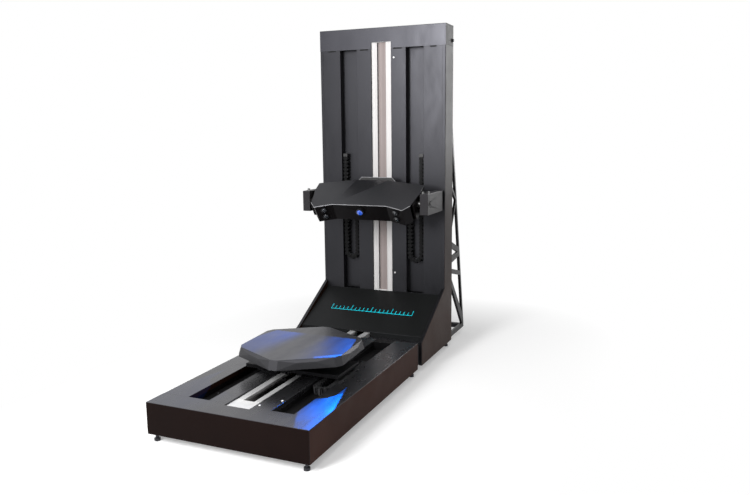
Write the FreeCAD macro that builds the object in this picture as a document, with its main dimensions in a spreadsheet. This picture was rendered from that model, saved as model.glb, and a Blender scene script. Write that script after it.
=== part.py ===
"""Scanning station: a linear base with a turntable, and a column that carries a tilting scanner head.

+Z is up, +X is the right-hand side seen from the front, and the front faces -Y.
The origin is on the floor, at the middle of the overall box.
"""
import FreeCAD, Part
import math
import os
import Sketcher
from FreeCAD import Placement, Rotation, Vector

SIZES = {
    # the whole station
    "total_height": 1250,
    # sheet metal
    "sheet": 3,
    "seam": 0.3,
    "bend_radius": 2,
    "flange": 15,
    "border": 78,
    # base housing
    "base_length": 805,
    "deck_height": 118,
    "base_clearance": 23,
    "base_return": 25,
    "bridge_drop": 18,
    # the two long slots and the strip between them, the same on base and column
    "strip_gap": 1,
    "centre_strip": 61,
    "slot_width": 71,
    "side_strip": 87,
    "slot_depth": 30,
    "slot_rear": 35,
    # column housing
    "column_depth": 92,
    "plate": 12,
    "bridge_gap": 43,
    "foot_step": 32,
    "foot_drop": 10,
    "gusset_run": 228,
    "gusset_rise": 6,
    "gusset_climb": 128,
    "fascia_rise": 1,
    "fascia_climb": 107,
    # welded inner frame
    "tube_width": 40,
    "tube_wall": 3,
    "member": 40,
    "member_step": 4,
    # levelling feet
    "foot_radius": 9,
    "foot_pad": 8,
    "stud_radius": 5,
    "foot_inset": 18,
    # truss braces behind the column
    "truss_drop": 240,
    "truss_reach": 212,
    "truss_plate": 10,
    "truss_bar": 12,
    "truss_toe": 16,
    # linear axes
    "axis_width": 80,
    "axis_height": 40,
    "axis_drop": 4,
    "channel_half": 18,
    "band_half": 15,
    "band_drop": 6,
    "band_thick": 0.8,
    "cavity_half": 24,
    "lip": 9,
    "axis_floor": 5,
    "screw_radius": 8,
    "screw_drop": 26,
    "running": 0.09,
    "base_notch": 13,
    "base_axis_tail": 72,
    "base_block": 60,
    "column_notch": 23,
    "column_axis_foot": 2,
    "column_block": 40,
    "motor_side": 56,
    "motor_length": 86,
    "coupling_radius": 14,
    "coupling_length": 30,
    # carriages
    "saddle_gap": 1.5,
    "saddle_thick": 12,
    "saddle_half": 60,
    "saddle_length": 150,
    "nut_length": 60,
    "nut_half": 17.4,
    "leg_thick": 1.8,
    # turntable
    "table_y": 437,
    "table_margin": 8,
    "top_radius": 199,
    "corner_cut": 26,
    "platform_height": 30,
    "ridge_drop": 9,
    "ridge_flare": 8,
    "ridge_half": 28,
    "toe_flare": 8,
    "plate_inset": 49,
    "table_plate": 12,
    "table_yaw": 33,
    "hub_radius": 20,
    "hub_flange_radius": 80,
    "hub_flange": 4.7,
    "hub_gap": 1,
    "housing_side": 96,
    "housing_height": 10.5,
    "big_pulley": 60,
    "small_pulley": 12,
    "pulley_width": 8,
    "belt_thick": 1.5,
    "belt_gap": 0.3,
    "table_motor": 42,
    # lift carriage and yoke
    "head_height": 597,
    "beam_high": 33,
    "beam_low": 31,
    "beam_thick": 30,
    "arm_side_gap": 8,
    "arm_thick": 30,
    "arm_high": 39,
    "arm_low": 38,
    "arm_length": 183,
    "arm_gap": 10,
    "bracket_half": 84,
    "bracket_thick": 10,
    "bracket_high": 87,
    "bracket_bevel": 21,
    # scanner head, about its tilt axis
    "tilt_reach": 158,
    "head_tilt": 33.4,
    "pin_radius": 12,
    "head_top": 32,
    "head_bottom": 40,
    "head_half": 216,
    "front_reach": 57,
    "wing_inset": 39,
    "wing_width": 68,
    "wing_sweep": 21,
    "head_shoulder": 28,
    "shoulder_inset": 16,
    "shoulder_reach": 50,
    "head_back": 70,
    "head_bulge": 26,
    "bulge_half": 65,
    "overhang": 2,
    "bezel": 5,
    "side_inset": 6,
    "side_thick": 6,
    "projector_half": 45,
    "lens_radius": 15,
    "lens_reach": 9,
    "lens_height": 3,
    "lens_wall": 3,
    "glass_thick": 2,
    "camera_inset": 36,
    "camera_radius": 11,
    "camera_reach": 5,
    "camera_wall": 2,
    "camera_recess": 3,
    "camera_high": 12,
    "camera_low": 18,
    "camera_side": 26,
    "camera_length": 46,
    # drag chains
    "chain_side": 3.5,
    "link_height": 18,
    "link_width": 22,
    "link_pitch": 20,
    "link_gap": 3,
    "link_core": 14,
    "chain_cover": 5,
    "anchor": 12,
    "lift_clamp_drop": 7,
    "lift_moving_leg": 214,
    "lift_fixed_leg": 384,
    "base_clamp_inset": 17,
    "base_moving_leg": 175,
    "base_fixed_leg": 240,
}

doc = FreeCAD.newDocument("ScanningStation")
sheet = doc.addObject("Spreadsheet::Sheet", "Sizes")
for row, (alias, number) in enumerate(SIZES.items(), start=1):
    sheet.set("A%d" % row, alias)
    sheet.set("B%d" % row, str(number))
    sheet.setAlias("B%d" % row, alias)
doc.recompute()


class Size:
    """A number together with the expression that gives it from the sheet."""

    def __init__(self, value, text):
        self.value = float(value)
        self.text = text

    def __add__(self, other):
        other = size(other)
        return Size(self.value + other.value, "(%s + %s)" % (self.text, other.text))

    def __sub__(self, other):
        other = size(other)
        return Size(self.value - other.value, "(%s - %s)" % (self.text, other.text))

    def __mul__(self, other):
        other = size(other)
        return Size(self.value * other.value, "(%s * %s)" % (self.text, other.text))

    def __truediv__(self, other):
        other = size(other)
        return Size(self.value / other.value, "(%s / %s)" % (self.text, other.text))

    def __radd__(self, other):
        return size(other) + self

    def __rsub__(self, other):
        return size(other) - self

    def __rmul__(self, other):
        return size(other) * self

    def __neg__(self):
        return size(0) - self


def size(number):
    """Any number as a Size."""
    if isinstance(number, Size):
        return number
    return Size(number, "(%s)" % repr(float(number)))


def cosine(angle):
    return Size(math.cos(math.radians(angle.value)), "cos(%s)" % angle.text)


def sine(angle):
    return Size(math.sin(math.radians(angle.value)), "sin(%s)" % angle.text)


class Named:
    """The sheet's cells, each as a Size."""

    def __getattr__(self, alias):
        return Size(SIZES[alias], "Sizes.%s" % alias)


S = Named()
parts = []
cuts = []

# Places across, from the middle outwards
strip_edge = S.axis_width / 2 + S.strip_gap
slot_inner = strip_edge + S.centre_strip
slot_outer = slot_inner + S.slot_width
half_width = slot_outer + S.side_strip
plate_inner = half_width - S.plate
tube_inner = plate_inner - S.tube_width
slot_middle = (slot_inner + slot_outer) / 2
chain_radius = (S.slot_width - S.link_height) / 2 - S.chain_side

# Places along, from the front backwards
foot_front = S.base_length + S.bridge_gap
gusset_front = foot_front + S.foot_step
column_front = gusset_front + S.gusset_run
front = -(column_front + S.column_depth + S.truss_reach) / 2
column_face = front + column_front
column_back = column_face + S.column_depth
table_centre = front + S.table_y
tilt_y = column_face - S.tilt_reach
base_axis_front = S.border - S.base_notch
base_axis_back = foot_front + S.base_axis_tail
base_clamp_back = S.table_y + S.saddle_length / 2 - S.base_clamp_inset
base_bend_front = base_clamp_back - S.base_moving_leg

# Places upwards, from the floor
pan_top = S.base_clearance + S.sheet
bridge_height = S.deck_height - S.bridge_drop
frame_top = bridge_height - S.sheet
tray_bottom = S.slot_depth + S.sheet
gusset_low = S.deck_height + S.gusset_rise
gusset_high = gusset_low + S.gusset_climb
fascia_low = S.deck_height + S.fascia_rise
fascia_high = fascia_low + S.fascia_climb
cap_low = S.total_height - S.border
column_axis_high = cap_low + S.column_notch
column_axis_low = fascia_high + S.column_axis_foot
saddle_top = S.deck_height + S.saddle_gap + S.saddle_thick
housing_top = saddle_top + S.housing_height
pulley_low = housing_top + S.seam
pulley_high = pulley_low + S.pulley_width
plate_low = pulley_high + S.hub_gap + S.hub_flange
platform_low = plate_low + S.table_plate
top_height = platform_low + S.platform_height
lift_clamp_high = S.head_height - S.lift_clamp_drop
lift_bend_high = lift_clamp_high - S.lift_moving_leg

# Half widths of the head and its yoke
side_half = S.head_half - S.side_inset
shoulder_half = S.head_half - S.shoulder_inset
wing_half = S.head_half - S.wing_inset
front_half = wing_half - S.wing_width
wing_reach = S.front_reach + S.wing_sweep
camera_x = front_half + S.camera_inset
yoke_inner = S.head_half + S.arm_side_gap
yoke_outer = yoke_inner + S.arm_thick


def keep(item, label):
    """Name a finished sub-part and list it for export."""
    item.Label = label
    parts.append(item)
    return item


def bind(item, name, value):
    item.setExpression(name, size(value).text)


def place(item, x=0, y=0, z=0, rotation=None):
    """Put an item at a point, each coordinate bound to the sheet."""
    spot = Vector(size(x).value, size(y).value, size(z).value)
    item.Placement = Placement(spot, rotation or Rotation())
    for axis, value in (("x", x), ("y", y), ("z", z)):
        bind(item, "Placement.Base." + axis, value)
    return item


def box(name, xs, ys, zs):
    """A block between two values along each axis."""
    made = doc.addObject("Part::Box", name)
    for prop, (low, high) in (("Length", xs), ("Width", ys), ("Height", zs)):
        bind(made, prop, high - low)
    return place(made, xs[0], ys[0], zs[0])


TURNS = {
    "X": Rotation(Vector(0, 1, 0), 90),
    "Y": Rotation(Vector(1, 0, 0), -90),
    "Z": Rotation(),
}


def rod(name, axis, centre, radius, start, end):
    """A cylinder along X, Y or Z; centre gives its other two coordinates in X, Y, Z order."""
    made = doc.addObject("Part::Cylinder", name)
    bind(made, "Radius", radius)
    bind(made, "Height", end - start)
    spot = list(centre)
    spot.insert("XYZ".index(axis), start)
    return place(made, *spot, rotation=TURNS[axis])


def prism(name, sides, centre, radius, low, high):
    """An upright prism with this many sides; radius goes to its corners."""
    made = doc.addObject("Part::Prism", name)
    made.Polygon = sides
    bind(made, "Circumradius", radius)
    bind(made, "Height", high - low)
    return place(made, centre[0], centre[1], low)


def cut(name, base, tool):
    made = doc.addObject("Part::Cut", name)
    made.Base = base
    made.Tool = tool
    cuts.append((made, base))
    return made


def fuse(name, pieces):
    made = doc.addObject("Part::MultiFuse", name)
    made.Shapes = pieces
    return made


def group(label, pieces):
    """Several separate solids that share one node."""
    made = doc.addObject("Part::Compound", label)
    made.Links = pieces
    return keep(made, label)


PLANES = {"XY": ("XY_Plane", 1), "XZ": ("XZ_Plane", -1), "YZ": ("YZ_Plane", 1)}


def new_body(name):
    return doc.addObject("PartDesign::Body", name)


def sketch(body, plane, start):
    """An empty sketch parallel to one of the body's planes, at a distance along the third axis."""
    role, sense = PLANES[plane]
    made = body.newObject("Sketcher::SketchObject", body.Name + "Sketch")
    base = [item for item in body.Origin.OriginFeatures if item.Role == role][0]
    made.AttachmentSupport = [(base, "")]
    made.MapMode = "FlatFace"
    offset = size(start) * sense
    made.AttachmentOffset = Placement(Vector(0, 0, offset.value), Rotation())
    bind(made, "AttachmentOffset.Base.z", offset)
    return made


def pin_point(made, edge, end, point):
    """Tie one end of a sketch edge to two sizes."""
    for kind, value in zip(("DistanceX", "DistanceY"), point):
        number = made.addConstraint(Sketcher.Constraint(kind, -1, 1, edge, end, size(value).value))
        bind(made, "Constraints[%d]" % number, value)


def outline(made, points):
    """A closed outline of straight edges whose corners are tied to the sheet."""
    flat = [Vector(size(u).value, size(v).value, 0) for u, v in points]
    for here, there in zip(flat, flat[1:] + flat[:1]):
        made.addGeometry(Part.LineSegment(here, there))
    count = len(points)
    for edge in range(count):
        made.addConstraint(Sketcher.Constraint("Coincident", edge, 2, (edge + 1) % count, 1))
    for edge, point in enumerate(points):
        pin_point(made, edge, 1, point)
    return made


def circle(made, centre, radius):
    spot = Vector(size(centre[0]).value, size(centre[1]).value, 0)
    made.addGeometry(Part.Circle(spot, Vector(0, 0, 1), size(radius).value))
    pin_point(made, 0, 3, centre)
    number = made.addConstraint(Sketcher.Constraint("Radius", 0, size(radius).value))
    bind(made, "Constraints[%d]" % number, radius)
    return made


def pad(body, plane, start, end, points):
    """Material between two distances along the plane's third axis."""
    made = body.newObject("PartDesign::Pad", body.Name + "Pad")
    made.Profile = outline(sketch(body, plane, start), points)
    made.Reversed = PLANES[plane][1] < 0
    bind(made, "Length", size(end) - start)
    return made


def pocket(body, plane, start, end, points=None, hole=None):
    """A cut between two distances: an outline, or a round hole given as (centre, radius)."""
    base = body.Tip
    made = body.newObject("PartDesign::Pocket", body.Name + "Pocket")
    flat = sketch(body, plane, start)
    made.Profile = circle(flat, *hole) if hole else outline(flat, points)
    made.Reversed = PLANES[plane][1] > 0
    bind(made, "Length", size(end) - start)
    cuts.append((made, base))
    return made


def square(x, y, half):
    """Corners of a square hole."""
    return [(x - half, y - half), (x + half, y - half), (x + half, y + half), (x - half, y + half)]


def rounded(body, radius, chosen):
    """Round the edges whose middle points the test picks."""
    doc.recompute()
    names = []
    for number, edge in enumerate(body.Tip.Shape.Edges, start=1):
        middle = edge.valueAt((edge.FirstParameter + edge.LastParameter) / 2)
        along = edge.tangentAt((edge.FirstParameter + edge.LastParameter) / 2)
        if chosen(middle, along):
            names.append("Edge%d" % number)
    base = body.Tip
    made = body.newObject("PartDesign::Fillet", body.Name + "Fillet")
    made.Base = (base, names)
    bind(made, "Radius", radius)
    return made


def near(number, value, slack=0.01):
    return abs(number - size(value).value) < slack


class Module:
    """The base or the column, in coordinates across (x), along its length from the capped end
    (run) and out of its face (rise)."""

    def __init__(self, name):
        self.name = name
        self.flat = name == "base"

    def run(self, distance):
        return front + distance if self.flat else S.total_height - distance

    def rise(self, distance):
        return S.deck_height + distance if self.flat else column_face - distance

    def prism(self, body, shape, start, end, points):
        """Pad or pocket a profile of (x, rise) points along the module."""
        mapped = [(x, self.rise(up)) for x, up in points]
        if self.flat:
            return shape(body, "XZ", self.run(start), self.run(end), mapped)
        return shape(body, "XY", self.run(end), self.run(start), mapped)

    def block(self, name, xs, runs, rises):
        low, high = (self.rise(value) for value in rises)
        near_end, far_end = (self.run(value) for value in runs)
        if self.flat:
            return box(name, xs, (near_end, far_end), (low, high))
        return box(name, xs, (high, low), (far_end, near_end))

    def shaft(self, name, radius, start, end):
        """A rod along the module on the screw's line."""
        across = self.rise(-S.screw_drop)
        if self.flat:
            return rod(name, "Y", (0, across), radius, self.run(start), self.run(end))
        return rod(name, "Z", (0, across), radius, self.run(end), self.run(start))


base = Module("base")
column = Module("column")
SIDES = ((-1, "left"), (1, "right"))


def across(side, low, high):
    """A span of x on one side, in rising order."""
    return (low, high) if side > 0 else (-high, -low)


# Folded covers beside the strip, and the slot trays under them


def centre_cover(module, side, start, end):
    """Cover between the strip and a slot, folded down into the slot."""
    body = new_body("%s_centre_cover" % module.name)
    edge, wall = slot_inner, S.sheet
    profile = [
        (side * strip_edge, 0),
        (side * edge, 0),
        (side * edge, -S.flange),
        (side * (edge - wall), -S.flange),
        (side * (edge - wall), -wall),
        (side * strip_edge, -wall),
    ]
    module.prism(body, pad, start, end, profile)
    return body


def slot_tray(module, side, end):
    """Channel that closes a slot underneath and at both ends."""
    body = new_body("%s_slot_tray" % module.name)
    inner, outer, wall = slot_inner, slot_outer, S.sheet
    channel = [
        (side * (inner - wall), -tray_bottom),
        (side * (inner - wall), -S.flange),
        (side * inner, -S.flange),
        (side * inner, -S.slot_depth),
        (side * outer, -S.slot_depth),
        (side * outer, -S.flange),
        (side * (outer + wall), -S.flange),
        (side * (outer + wall), -tray_bottom),
    ]
    module.prism(body, pad, S.border, end, channel)
    closing = [
        (side * (inner - wall), -tray_bottom),
        (side * (inner - wall), -S.flange),
        (side * inner, -S.flange),
        (side * inner, -wall),
        (side * outer, -wall),
        (side * outer, -S.flange),
        (side * (outer + wall), -S.flange),
        (side * (outer + wall), -tray_bottom),
    ]
    module.prism(body, pad, S.border - wall, S.border, closing)
    module.prism(body, pad, end, end + wall, closing)
    return body


def base_housing():
    ends = S.base_length
    cover = new_body("base_front_cover")
    low, deck, wall = S.base_clearance, S.deck_height, S.sheet
    fold = [
        (front, low),
        (front + wall, low),
        (front + wall, deck - wall),
        (front + S.border, deck - wall),
        (front + S.border, deck),
        (front, deck),
    ]
    pad(cover, "YZ", -half_width, half_width, fold)
    under = [
        (front + wall, low),
        (front + S.base_return, low),
        (front + S.base_return, low + wall),
        (front + wall, low + wall),
    ]
    reach = half_width - wall - S.seam
    pad(cover, "YZ", -reach, reach, under)
    notch = [
        (-strip_edge, front + base_axis_front - 1),
        (strip_edge, front + base_axis_front - 1),
        (strip_edge, front + S.border + 1),
        (-strip_edge, front + S.border + 1),
    ]
    pocket(cover, "XY", deck - 2 * wall, deck + wall, notch)
    for side, _ in SIDES:
        stud = square(side * foot_x, front + S.foot_inset, S.stud_radius + S.seam)
        pocket(cover, "XY", low - 1, low + 2 * wall, stud)
    rounded(cover, S.bend_radius, lambda m, t: near(m.y, front) and abs(m.x) < 1)
    keep(cover, "base_front_cover")

    for side, word in SIDES:
        body = new_body("base_side_cover_" + word)
        outer, inner = half_width, half_width - wall
        bottom = S.base_clearance - S.deck_height
        profile = [
            (side * outer, bottom),
            (side * outer, 0),
            (side * slot_outer, 0),
            (side * slot_outer, -S.flange),
            (side * (slot_outer + wall), -S.flange),
            (side * (slot_outer + wall), -wall),
            (side * inner, -wall),
            (side * inner, bottom + wall),
            (side * (outer - S.base_return), bottom + wall),
            (side * (outer - S.base_return), bottom),
        ]
        base.prism(body, pad, S.border + S.seam, ends, profile)
        wing = [
            (side * outer, bottom),
            (side * outer, -wall - S.seam),
            (side * inner, -wall - S.seam),
            (side * inner, bottom),
        ]
        base.prism(body, pad, wall + S.seam, S.border + S.seam, wing)
        stud = square(side * foot_x, front + ends - S.foot_inset, S.stud_radius + S.seam)
        pocket(body, "XY", low - 1, low + 2 * wall, stud)
        edge = side * half_width
        rounded(
            body,
            S.bend_radius,
            lambda m, t, edge=edge: near(m.x, edge) and near(m.z, S.deck_height) and abs(t.y) > 0.9,
        )
        keep(body, "base_side_cover_" + word)

    start = S.border + S.seam
    group("base_centre_covers", [centre_cover(base, side, start, ends) for side, _ in SIDES])

    trays = []
    slot_end = ends - S.slot_rear
    for side, word in SIDES:
        tray = slot_tray(base, side, slot_end)
        lid = across(side, slot_inner + S.seam, slot_outer - S.seam)
        rear = base.block("slot_lid", lid, (slot_end, ends), (-wall, size(0)))
        trays += [tray, rear]
    group("base_slot_trays", trays)

    flap = half_width - S.base_return - S.seam
    ys = (front + S.base_return + S.seam, front + ends - S.seam)
    keep(box("base_floor_pan", (-flap, flap), ys, (low, low + wall)), "base_floor_pan")

    decks = []
    for side, _ in SIDES:
        xs = across(side, strip_edge, plate_inner - S.seam)
        ys = (front + ends + S.seam, front + gusset_front + S.base_return)
        decks.append(box("bridge_plate", xs, ys, (frame_top, bridge_height)))
    group("bridge_deck", decks)


def column_housing():
    low, wall = S.base_clearance, S.sheet
    for side, word in SIDES:
        body = new_body("column_side_" + word)
        shape = [
            (front + foot_front, low),
            (front + foot_front, S.deck_height - S.foot_drop),
            (front + gusset_front, gusset_low),
            (column_face, gusset_high),
            (column_face, cap_low - S.seam),
            (column_back, cap_low - S.seam),
            (column_back, low),
        ]
        xs = across(side, plate_inner, half_width)
        pad(body, "YZ", xs[0], xs[1], shape)
        edge = side * half_width
        ahead = column_face.value + 1
        rounded(
            body,
            S.bend_radius,
            lambda m, t, edge=edge: near(m.x, edge) and m.y < ahead and m.z > pan_top.value,
        )
        keep(body, "column_side_" + word)

    cap = new_body("column_cap")
    shell = [
        (-half_width, column_face),
        (half_width, column_face),
        (half_width, column_back),
        (-half_width, column_back),
    ]
    pad(cap, "XY", cap_low, S.total_height, shell)
    hollow = [
        (-half_width + wall, column_face + wall),
        (half_width - wall, column_face + wall),
        (half_width - wall, column_back - wall),
        (-half_width + wall, column_back - wall),
    ]
    pocket(cap, "XY", cap_low - 1, S.total_height - wall, hollow)
    notch = [
        (-strip_edge, cap_low - 1),
        (strip_edge, cap_low - 1),
        (strip_edge, column_axis_high + 1),
        (-strip_edge, column_axis_high + 1),
    ]
    pocket(cap, "XZ", column_face - 1, column_face + wall + 1, notch)
    rounded(cap, S.bend_radius, lambda m, t: near(m.z, S.total_height) and abs(t.x) > 0.9)
    keep(cap, "column_cap")

    start = S.border + S.seam
    end = S.total_height - fascia_high
    group("column_centre_covers", [centre_cover(column, side, start, end) for side, _ in SIDES])
    covers = []
    for side, _ in SIDES:
        body = new_body("column_front_cover")
        profile = [
            (side * plate_inner, 0),
            (side * slot_outer, 0),
            (side * slot_outer, -S.flange),
            (side * (slot_outer + wall), -S.flange),
            (side * (slot_outer + wall), -wall),
            (side * plate_inner, -wall),
        ]
        column.prism(body, pad, start, end, profile)
        covers.append(body)
    group("column_front_covers", covers)
    group("column_slot_trays", [slot_tray(column, side, end) for side, _ in SIDES])

    xs = (-plate_inner + S.seam, plate_inner - S.seam)
    ys = (column_back - wall, column_back)
    keep(box("column_back_panel", xs, ys, (pan_top, cap_low - S.seam)), "column_back_panel")

    fascia = new_body("column_fascia")
    lip = front + gusset_front
    slope = [
        (column_face, fascia_high),
        (lip, fascia_low),
        (lip, bridge_height),
        (lip + wall, bridge_height),
        (lip + wall, fascia_low - wall),
        (column_face, fascia_high - wall),
    ]
    pad(fascia, "YZ", xs[0], xs[1], slope)
    arch = [
        (-strip_edge, bridge_height - 1),
        (strip_edge, bridge_height - 1),
        (strip_edge, fascia_low - wall),
        (-strip_edge, fascia_low - wall),
    ]
    pocket(fascia, "XZ", lip - 1, lip + wall + 1, arch)
    rounded(fascia, S.bend_radius, lambda m, t: near(m.y, lip) and near(m.z, fascia_low))
    keep(fascia, "column_fascia")


def truss(side, word):
    """Lattice plate behind the column: a raking outer bar, and struts between it and the column."""
    body = new_body("truss_" + word)
    low, high = S.base_clearance, S.total_height - S.truss_drop
    reach = S.truss_reach
    rear = -front
    tip = column_back + S.truss_bar
    xs = across(side, plate_inner - S.truss_plate, plate_inner)
    rim = [(column_back, low), (rear, low), (rear, low + S.truss_toe), (tip, high), (column_back, high)]
    pad(body, "YZ", xs[0], xs[1], rim)
    rake = (reach - S.truss_bar) / (high - low - S.truss_toe)

    def inner(z):
        return (tip, size(z))

    def outer(z, back=0):
        return (tip + (high - z) * rake - S.truss_bar * 1.1 - back, size(z))

    def at(share):
        return low + (high - low) * share

    windows = (
        (inner(at(0.65)), inner(at(0.92)), outer(at(0.58))),
        (inner(at(0.43)), inner(at(0.63)), outer(at(0.565))),
        (inner(at(0.41)), outer(at(0.55)), outer(at(0.365))),
        (inner(at(0.385)), outer(at(0.345), 14), inner(at(0.335))),
        (inner(at(0.31)), outer(at(0.325)), outer(at(0.26)), inner(at(0.295))),
        (inner(at(0.275)), outer(at(0.24)), outer(at(0.07))),
        (inner(at(0.245)), outer(at(0.02), 8), inner(at(0.02))),
    )
    for window in windows:
        pocket(body, "YZ", xs[0] - 1, xs[1] + 1, list(window))
    keep(body, "truss_" + word)


def tube(name, xs, ys, zs, axis):
    """Hollow square tube along one axis."""
    wall = S.tube_wall
    shell = box(name, xs, ys, zs)
    spans = {
        "X": ((xs[0] - 1, xs[1] + 1), (ys[0] + wall, ys[1] - wall), (zs[0] + wall, zs[1] - wall)),
        "Y": ((xs[0] + wall, xs[1] - wall), (ys[0] - 1, ys[1] + 1), (zs[0] + wall, zs[1] - wall)),
        "Z": ((xs[0] + wall, xs[1] - wall), (ys[0] + wall, ys[1] - wall), (zs[0] - 1, zs[1] + 1)),
    }
    return cut(name + "_tube", shell, box(name + "_bore", *spans[axis]))


def inner_frame():
    tubes = []
    back = column_back - S.sheet
    for side, _ in SIDES:
        xs = across(side, tube_inner, plate_inner)
        tubes.append(tube("rail", xs, (front + S.sheet + 1, back), (pan_top, frame_top), "Y"))
        ys = (column_face + tray_bottom, back)
        tubes.append(tube("post", xs, ys, (frame_top, S.total_height - S.border - S.seam), "Z"))
    ties = (-plate_inner + S.truss_plate, plate_inner - S.truss_plate)
    rear = -front - S.truss_toe
    rises = (S.base_clearance, pan_top + S.truss_toe)
    tubes.append(tube("tie", ties, (rear - S.truss_toe, rear), rises, "X"))
    group("frame_tubes", tubes)

    members = []
    bed = S.axis_drop + S.axis_height
    base_runs = (S.border, S.base_length / 2, S.base_length - S.slot_rear - S.member)
    column_runs = (S.border + S.member, S.total_height / 2, S.total_height - fascia_high - S.member)
    for module, runs, under in (
        (base, base_runs, S.deck_height - pan_top),
        (column, column_runs, S.column_depth - S.sheet),
    ):
        for start in runs:
            body = new_body(module.name + "_member")
            inner = strip_edge + S.member_step
            profile = [
                (-tube_inner, -under),
                (tube_inner, -under),
                (tube_inner, -tray_bottom),
                (inner, -tray_bottom),
                (inner, -bed),
                (-inner, -bed),
                (-inner, -tray_bottom),
                (-tube_inner, -tray_bottom),
            ]
            module.prism(body, pad, start, start + S.member, profile)
            members.append(body)
    group("cross_members", members)


foot_x = half_width - S.foot_inset
foot_ys = (
    front + S.foot_inset,
    front + S.base_length - S.foot_inset,
    column_back - S.foot_inset,
)


def levelling_feet():
    feet = []
    for side, _ in SIDES:
        for y in foot_ys:
            spot = (side * foot_x, y)
            stud = prism("foot_stud", 6, spot, S.stud_radius, S.foot_pad, pan_top)
            pad_disc = prism("foot_pad", 12, spot, S.foot_radius, size(0), S.foot_pad)
            feet.append(fuse("foot", [stud, pad_disc]))
    group("levelling_feet", feet)


# Linear axes


def axis_profile(module, start, end):
    """Aluminium extrusion: two lips either side of the channel, a cavity for the screw."""
    body = new_body(module.name + "_axis_profile")
    half, top = S.axis_width / 2, -S.axis_drop
    bottom, floor = top - S.axis_height, top - S.axis_height + S.axis_floor
    roof = top - S.lip
    profile = [
        (-half, bottom),
        (half, bottom),
        (half, top),
        (S.channel_half, top),
        (S.channel_half, roof),
        (S.cavity_half, roof),
        (S.cavity_half, floor),
        (-S.cavity_half, floor),
        (-S.cavity_half, roof),
        (-S.channel_half, roof),
        (-S.channel_half, top),
        (-half, top),
    ]
    module.prism(body, pad, start, end, profile)
    keep(body, module.name + "_axis_profile")


def end_block(module, start, end, name):
    """Bearing block that closes one end of the extrusion."""
    half, top = S.axis_width / 2, -S.axis_drop
    block = module.block(name, (-half, half), (start, end), (top - S.axis_height, top))
    bore = module.shaft(name + "_bore", S.screw_radius + S.running, start - 1, end + 1)
    return cut(name + "_bored", block, bore)


def linear_axes():
    spans = {
        base: (base_axis_front, base_axis_front + S.base_block, base_axis_back, S.base_block),
        column: (
            S.total_height - column_axis_high - S.column_block,
            S.total_height - column_axis_high,
            S.total_height - column_axis_low,
            S.column_block,
        ),
    }
    bands, blocks, motors = [], [], []
    for module, (first, start, end, block) in spans.items():
        axis_profile(module, start, end)
        high = -S.axis_drop - S.band_drop
        strip = (high - S.band_thick, high)
        bands.append(module.block(module.name + "_band", (-S.band_half, S.band_half), (start, end), strip))
        blocks.append(end_block(module, first, start, module.name + "_lead_block"))
        blocks.append(end_block(module, end, end + block, module.name + "_drive_block"))
        drive = end + block + S.coupling_length
        half = S.motor_side / 2
        motors.append(
            module.block(
                module.name + "_motor",
                (-half, half),
                (drive, drive + S.motor_length),
                (-S.screw_drop - half, -S.screw_drop + half),
            )
        )
        # the screw starts a little inside the lead block and ends against the motor
        thread = module.shaft(module.name + "_thread", S.screw_radius, first + S.sheet, drive - S.seam)
        sleeve = module.shaft(
            module.name + "_sleeve", S.coupling_radius, drive - S.coupling_length + 1, drive - 1
        )
        word = "base_screw" if module is base else "lift_screw"
        keep(fuse(word, [thread, sleeve]), word)
    group("axis_bands", bands)
    group("axis_end_blocks", blocks)
    group("axis_motors", motors)


def saddle_parts(module, middle, wing):
    """Carriage plate with its two runner strips, at a distance along the module."""
    low, high = S.saddle_gap, S.saddle_gap + S.saddle_thick
    ends = (middle - S.saddle_length / 2, middle + S.saddle_length / 2)
    plate = module.block(module.name + "_saddle_plate", (-wing, wing), ends, (low, high))
    pieces = [plate]
    for side, _ in SIDES:
        xs = across(side, S.channel_half + 1, S.axis_width / 2 - 1)
        runner = (-S.axis_drop + S.seam, low)
        pieces.append(module.block(module.name + "_runner", xs, ends, runner))
    return pieces


def nut(module, middle, label):
    """Screw nut, hung from the saddle by two thin legs that pass beside the band."""
    ends = (middle - S.nut_length / 2, middle + S.nut_length / 2)
    roof = -S.axis_drop - S.lip - 1
    floor = -S.screw_drop - (roof + S.screw_drop)
    pieces = [module.block(label + "_block", (-S.nut_half, S.nut_half), ends, (floor, roof))]
    for side, _ in SIDES:
        xs = across(side, S.nut_half - S.leg_thick, S.nut_half)
        pieces.append(module.block(label + "_leg", xs, ends, (roof, S.saddle_gap)))
    bore = module.shaft(label + "_bore", S.screw_radius + S.running, ends[0] - 1, ends[1] + 1)
    keep(cut(label, fuse(label + "_body", pieces), bore), label)


# Drag chains


def chain_rises():
    """Rises of the chain's outer and inner faces inside a slot."""
    outer = -S.chain_cover - S.link_width
    return (outer, -S.chain_cover), (outer + 2, -S.chain_cover - 2)


def chain_leg(module, x, start, end, name):
    """Straight run of links: a core with a raised body for each link."""
    body = new_body(name)
    full, core = chain_rises()
    thin, thick = S.link_core / 2, S.link_height / 2
    bar = [(x - thin, core[0]), (x + thin, core[0]), (x + thin, core[1]), (x - thin, core[1])]
    module.prism(body, pad, start, end, bar)
    link = [(x - thick, full[0]), (x + thick, full[0]), (x + thick, full[1]), (x - thick, full[1])]
    last = end - S.link_gap / 2
    first = module.prism(body, pad, last - S.link_pitch + S.link_gap, last, link)
    count = int((end - start).value // S.link_pitch.value)
    made = body.newObject("PartDesign::LinearPattern", name + "_links")
    made.Originals = [first]
    role = "Y_Axis" if module.flat else "Z_Axis"
    axis = [item for item in body.Origin.OriginFeatures if item.Role == role][0]
    made.Direction = (axis, [""])
    made.Reversed = module.flat
    made.Occurrences = count
    bind(made, "Length", S.link_pitch * (count - 1))
    body.Tip = made
    return body


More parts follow.
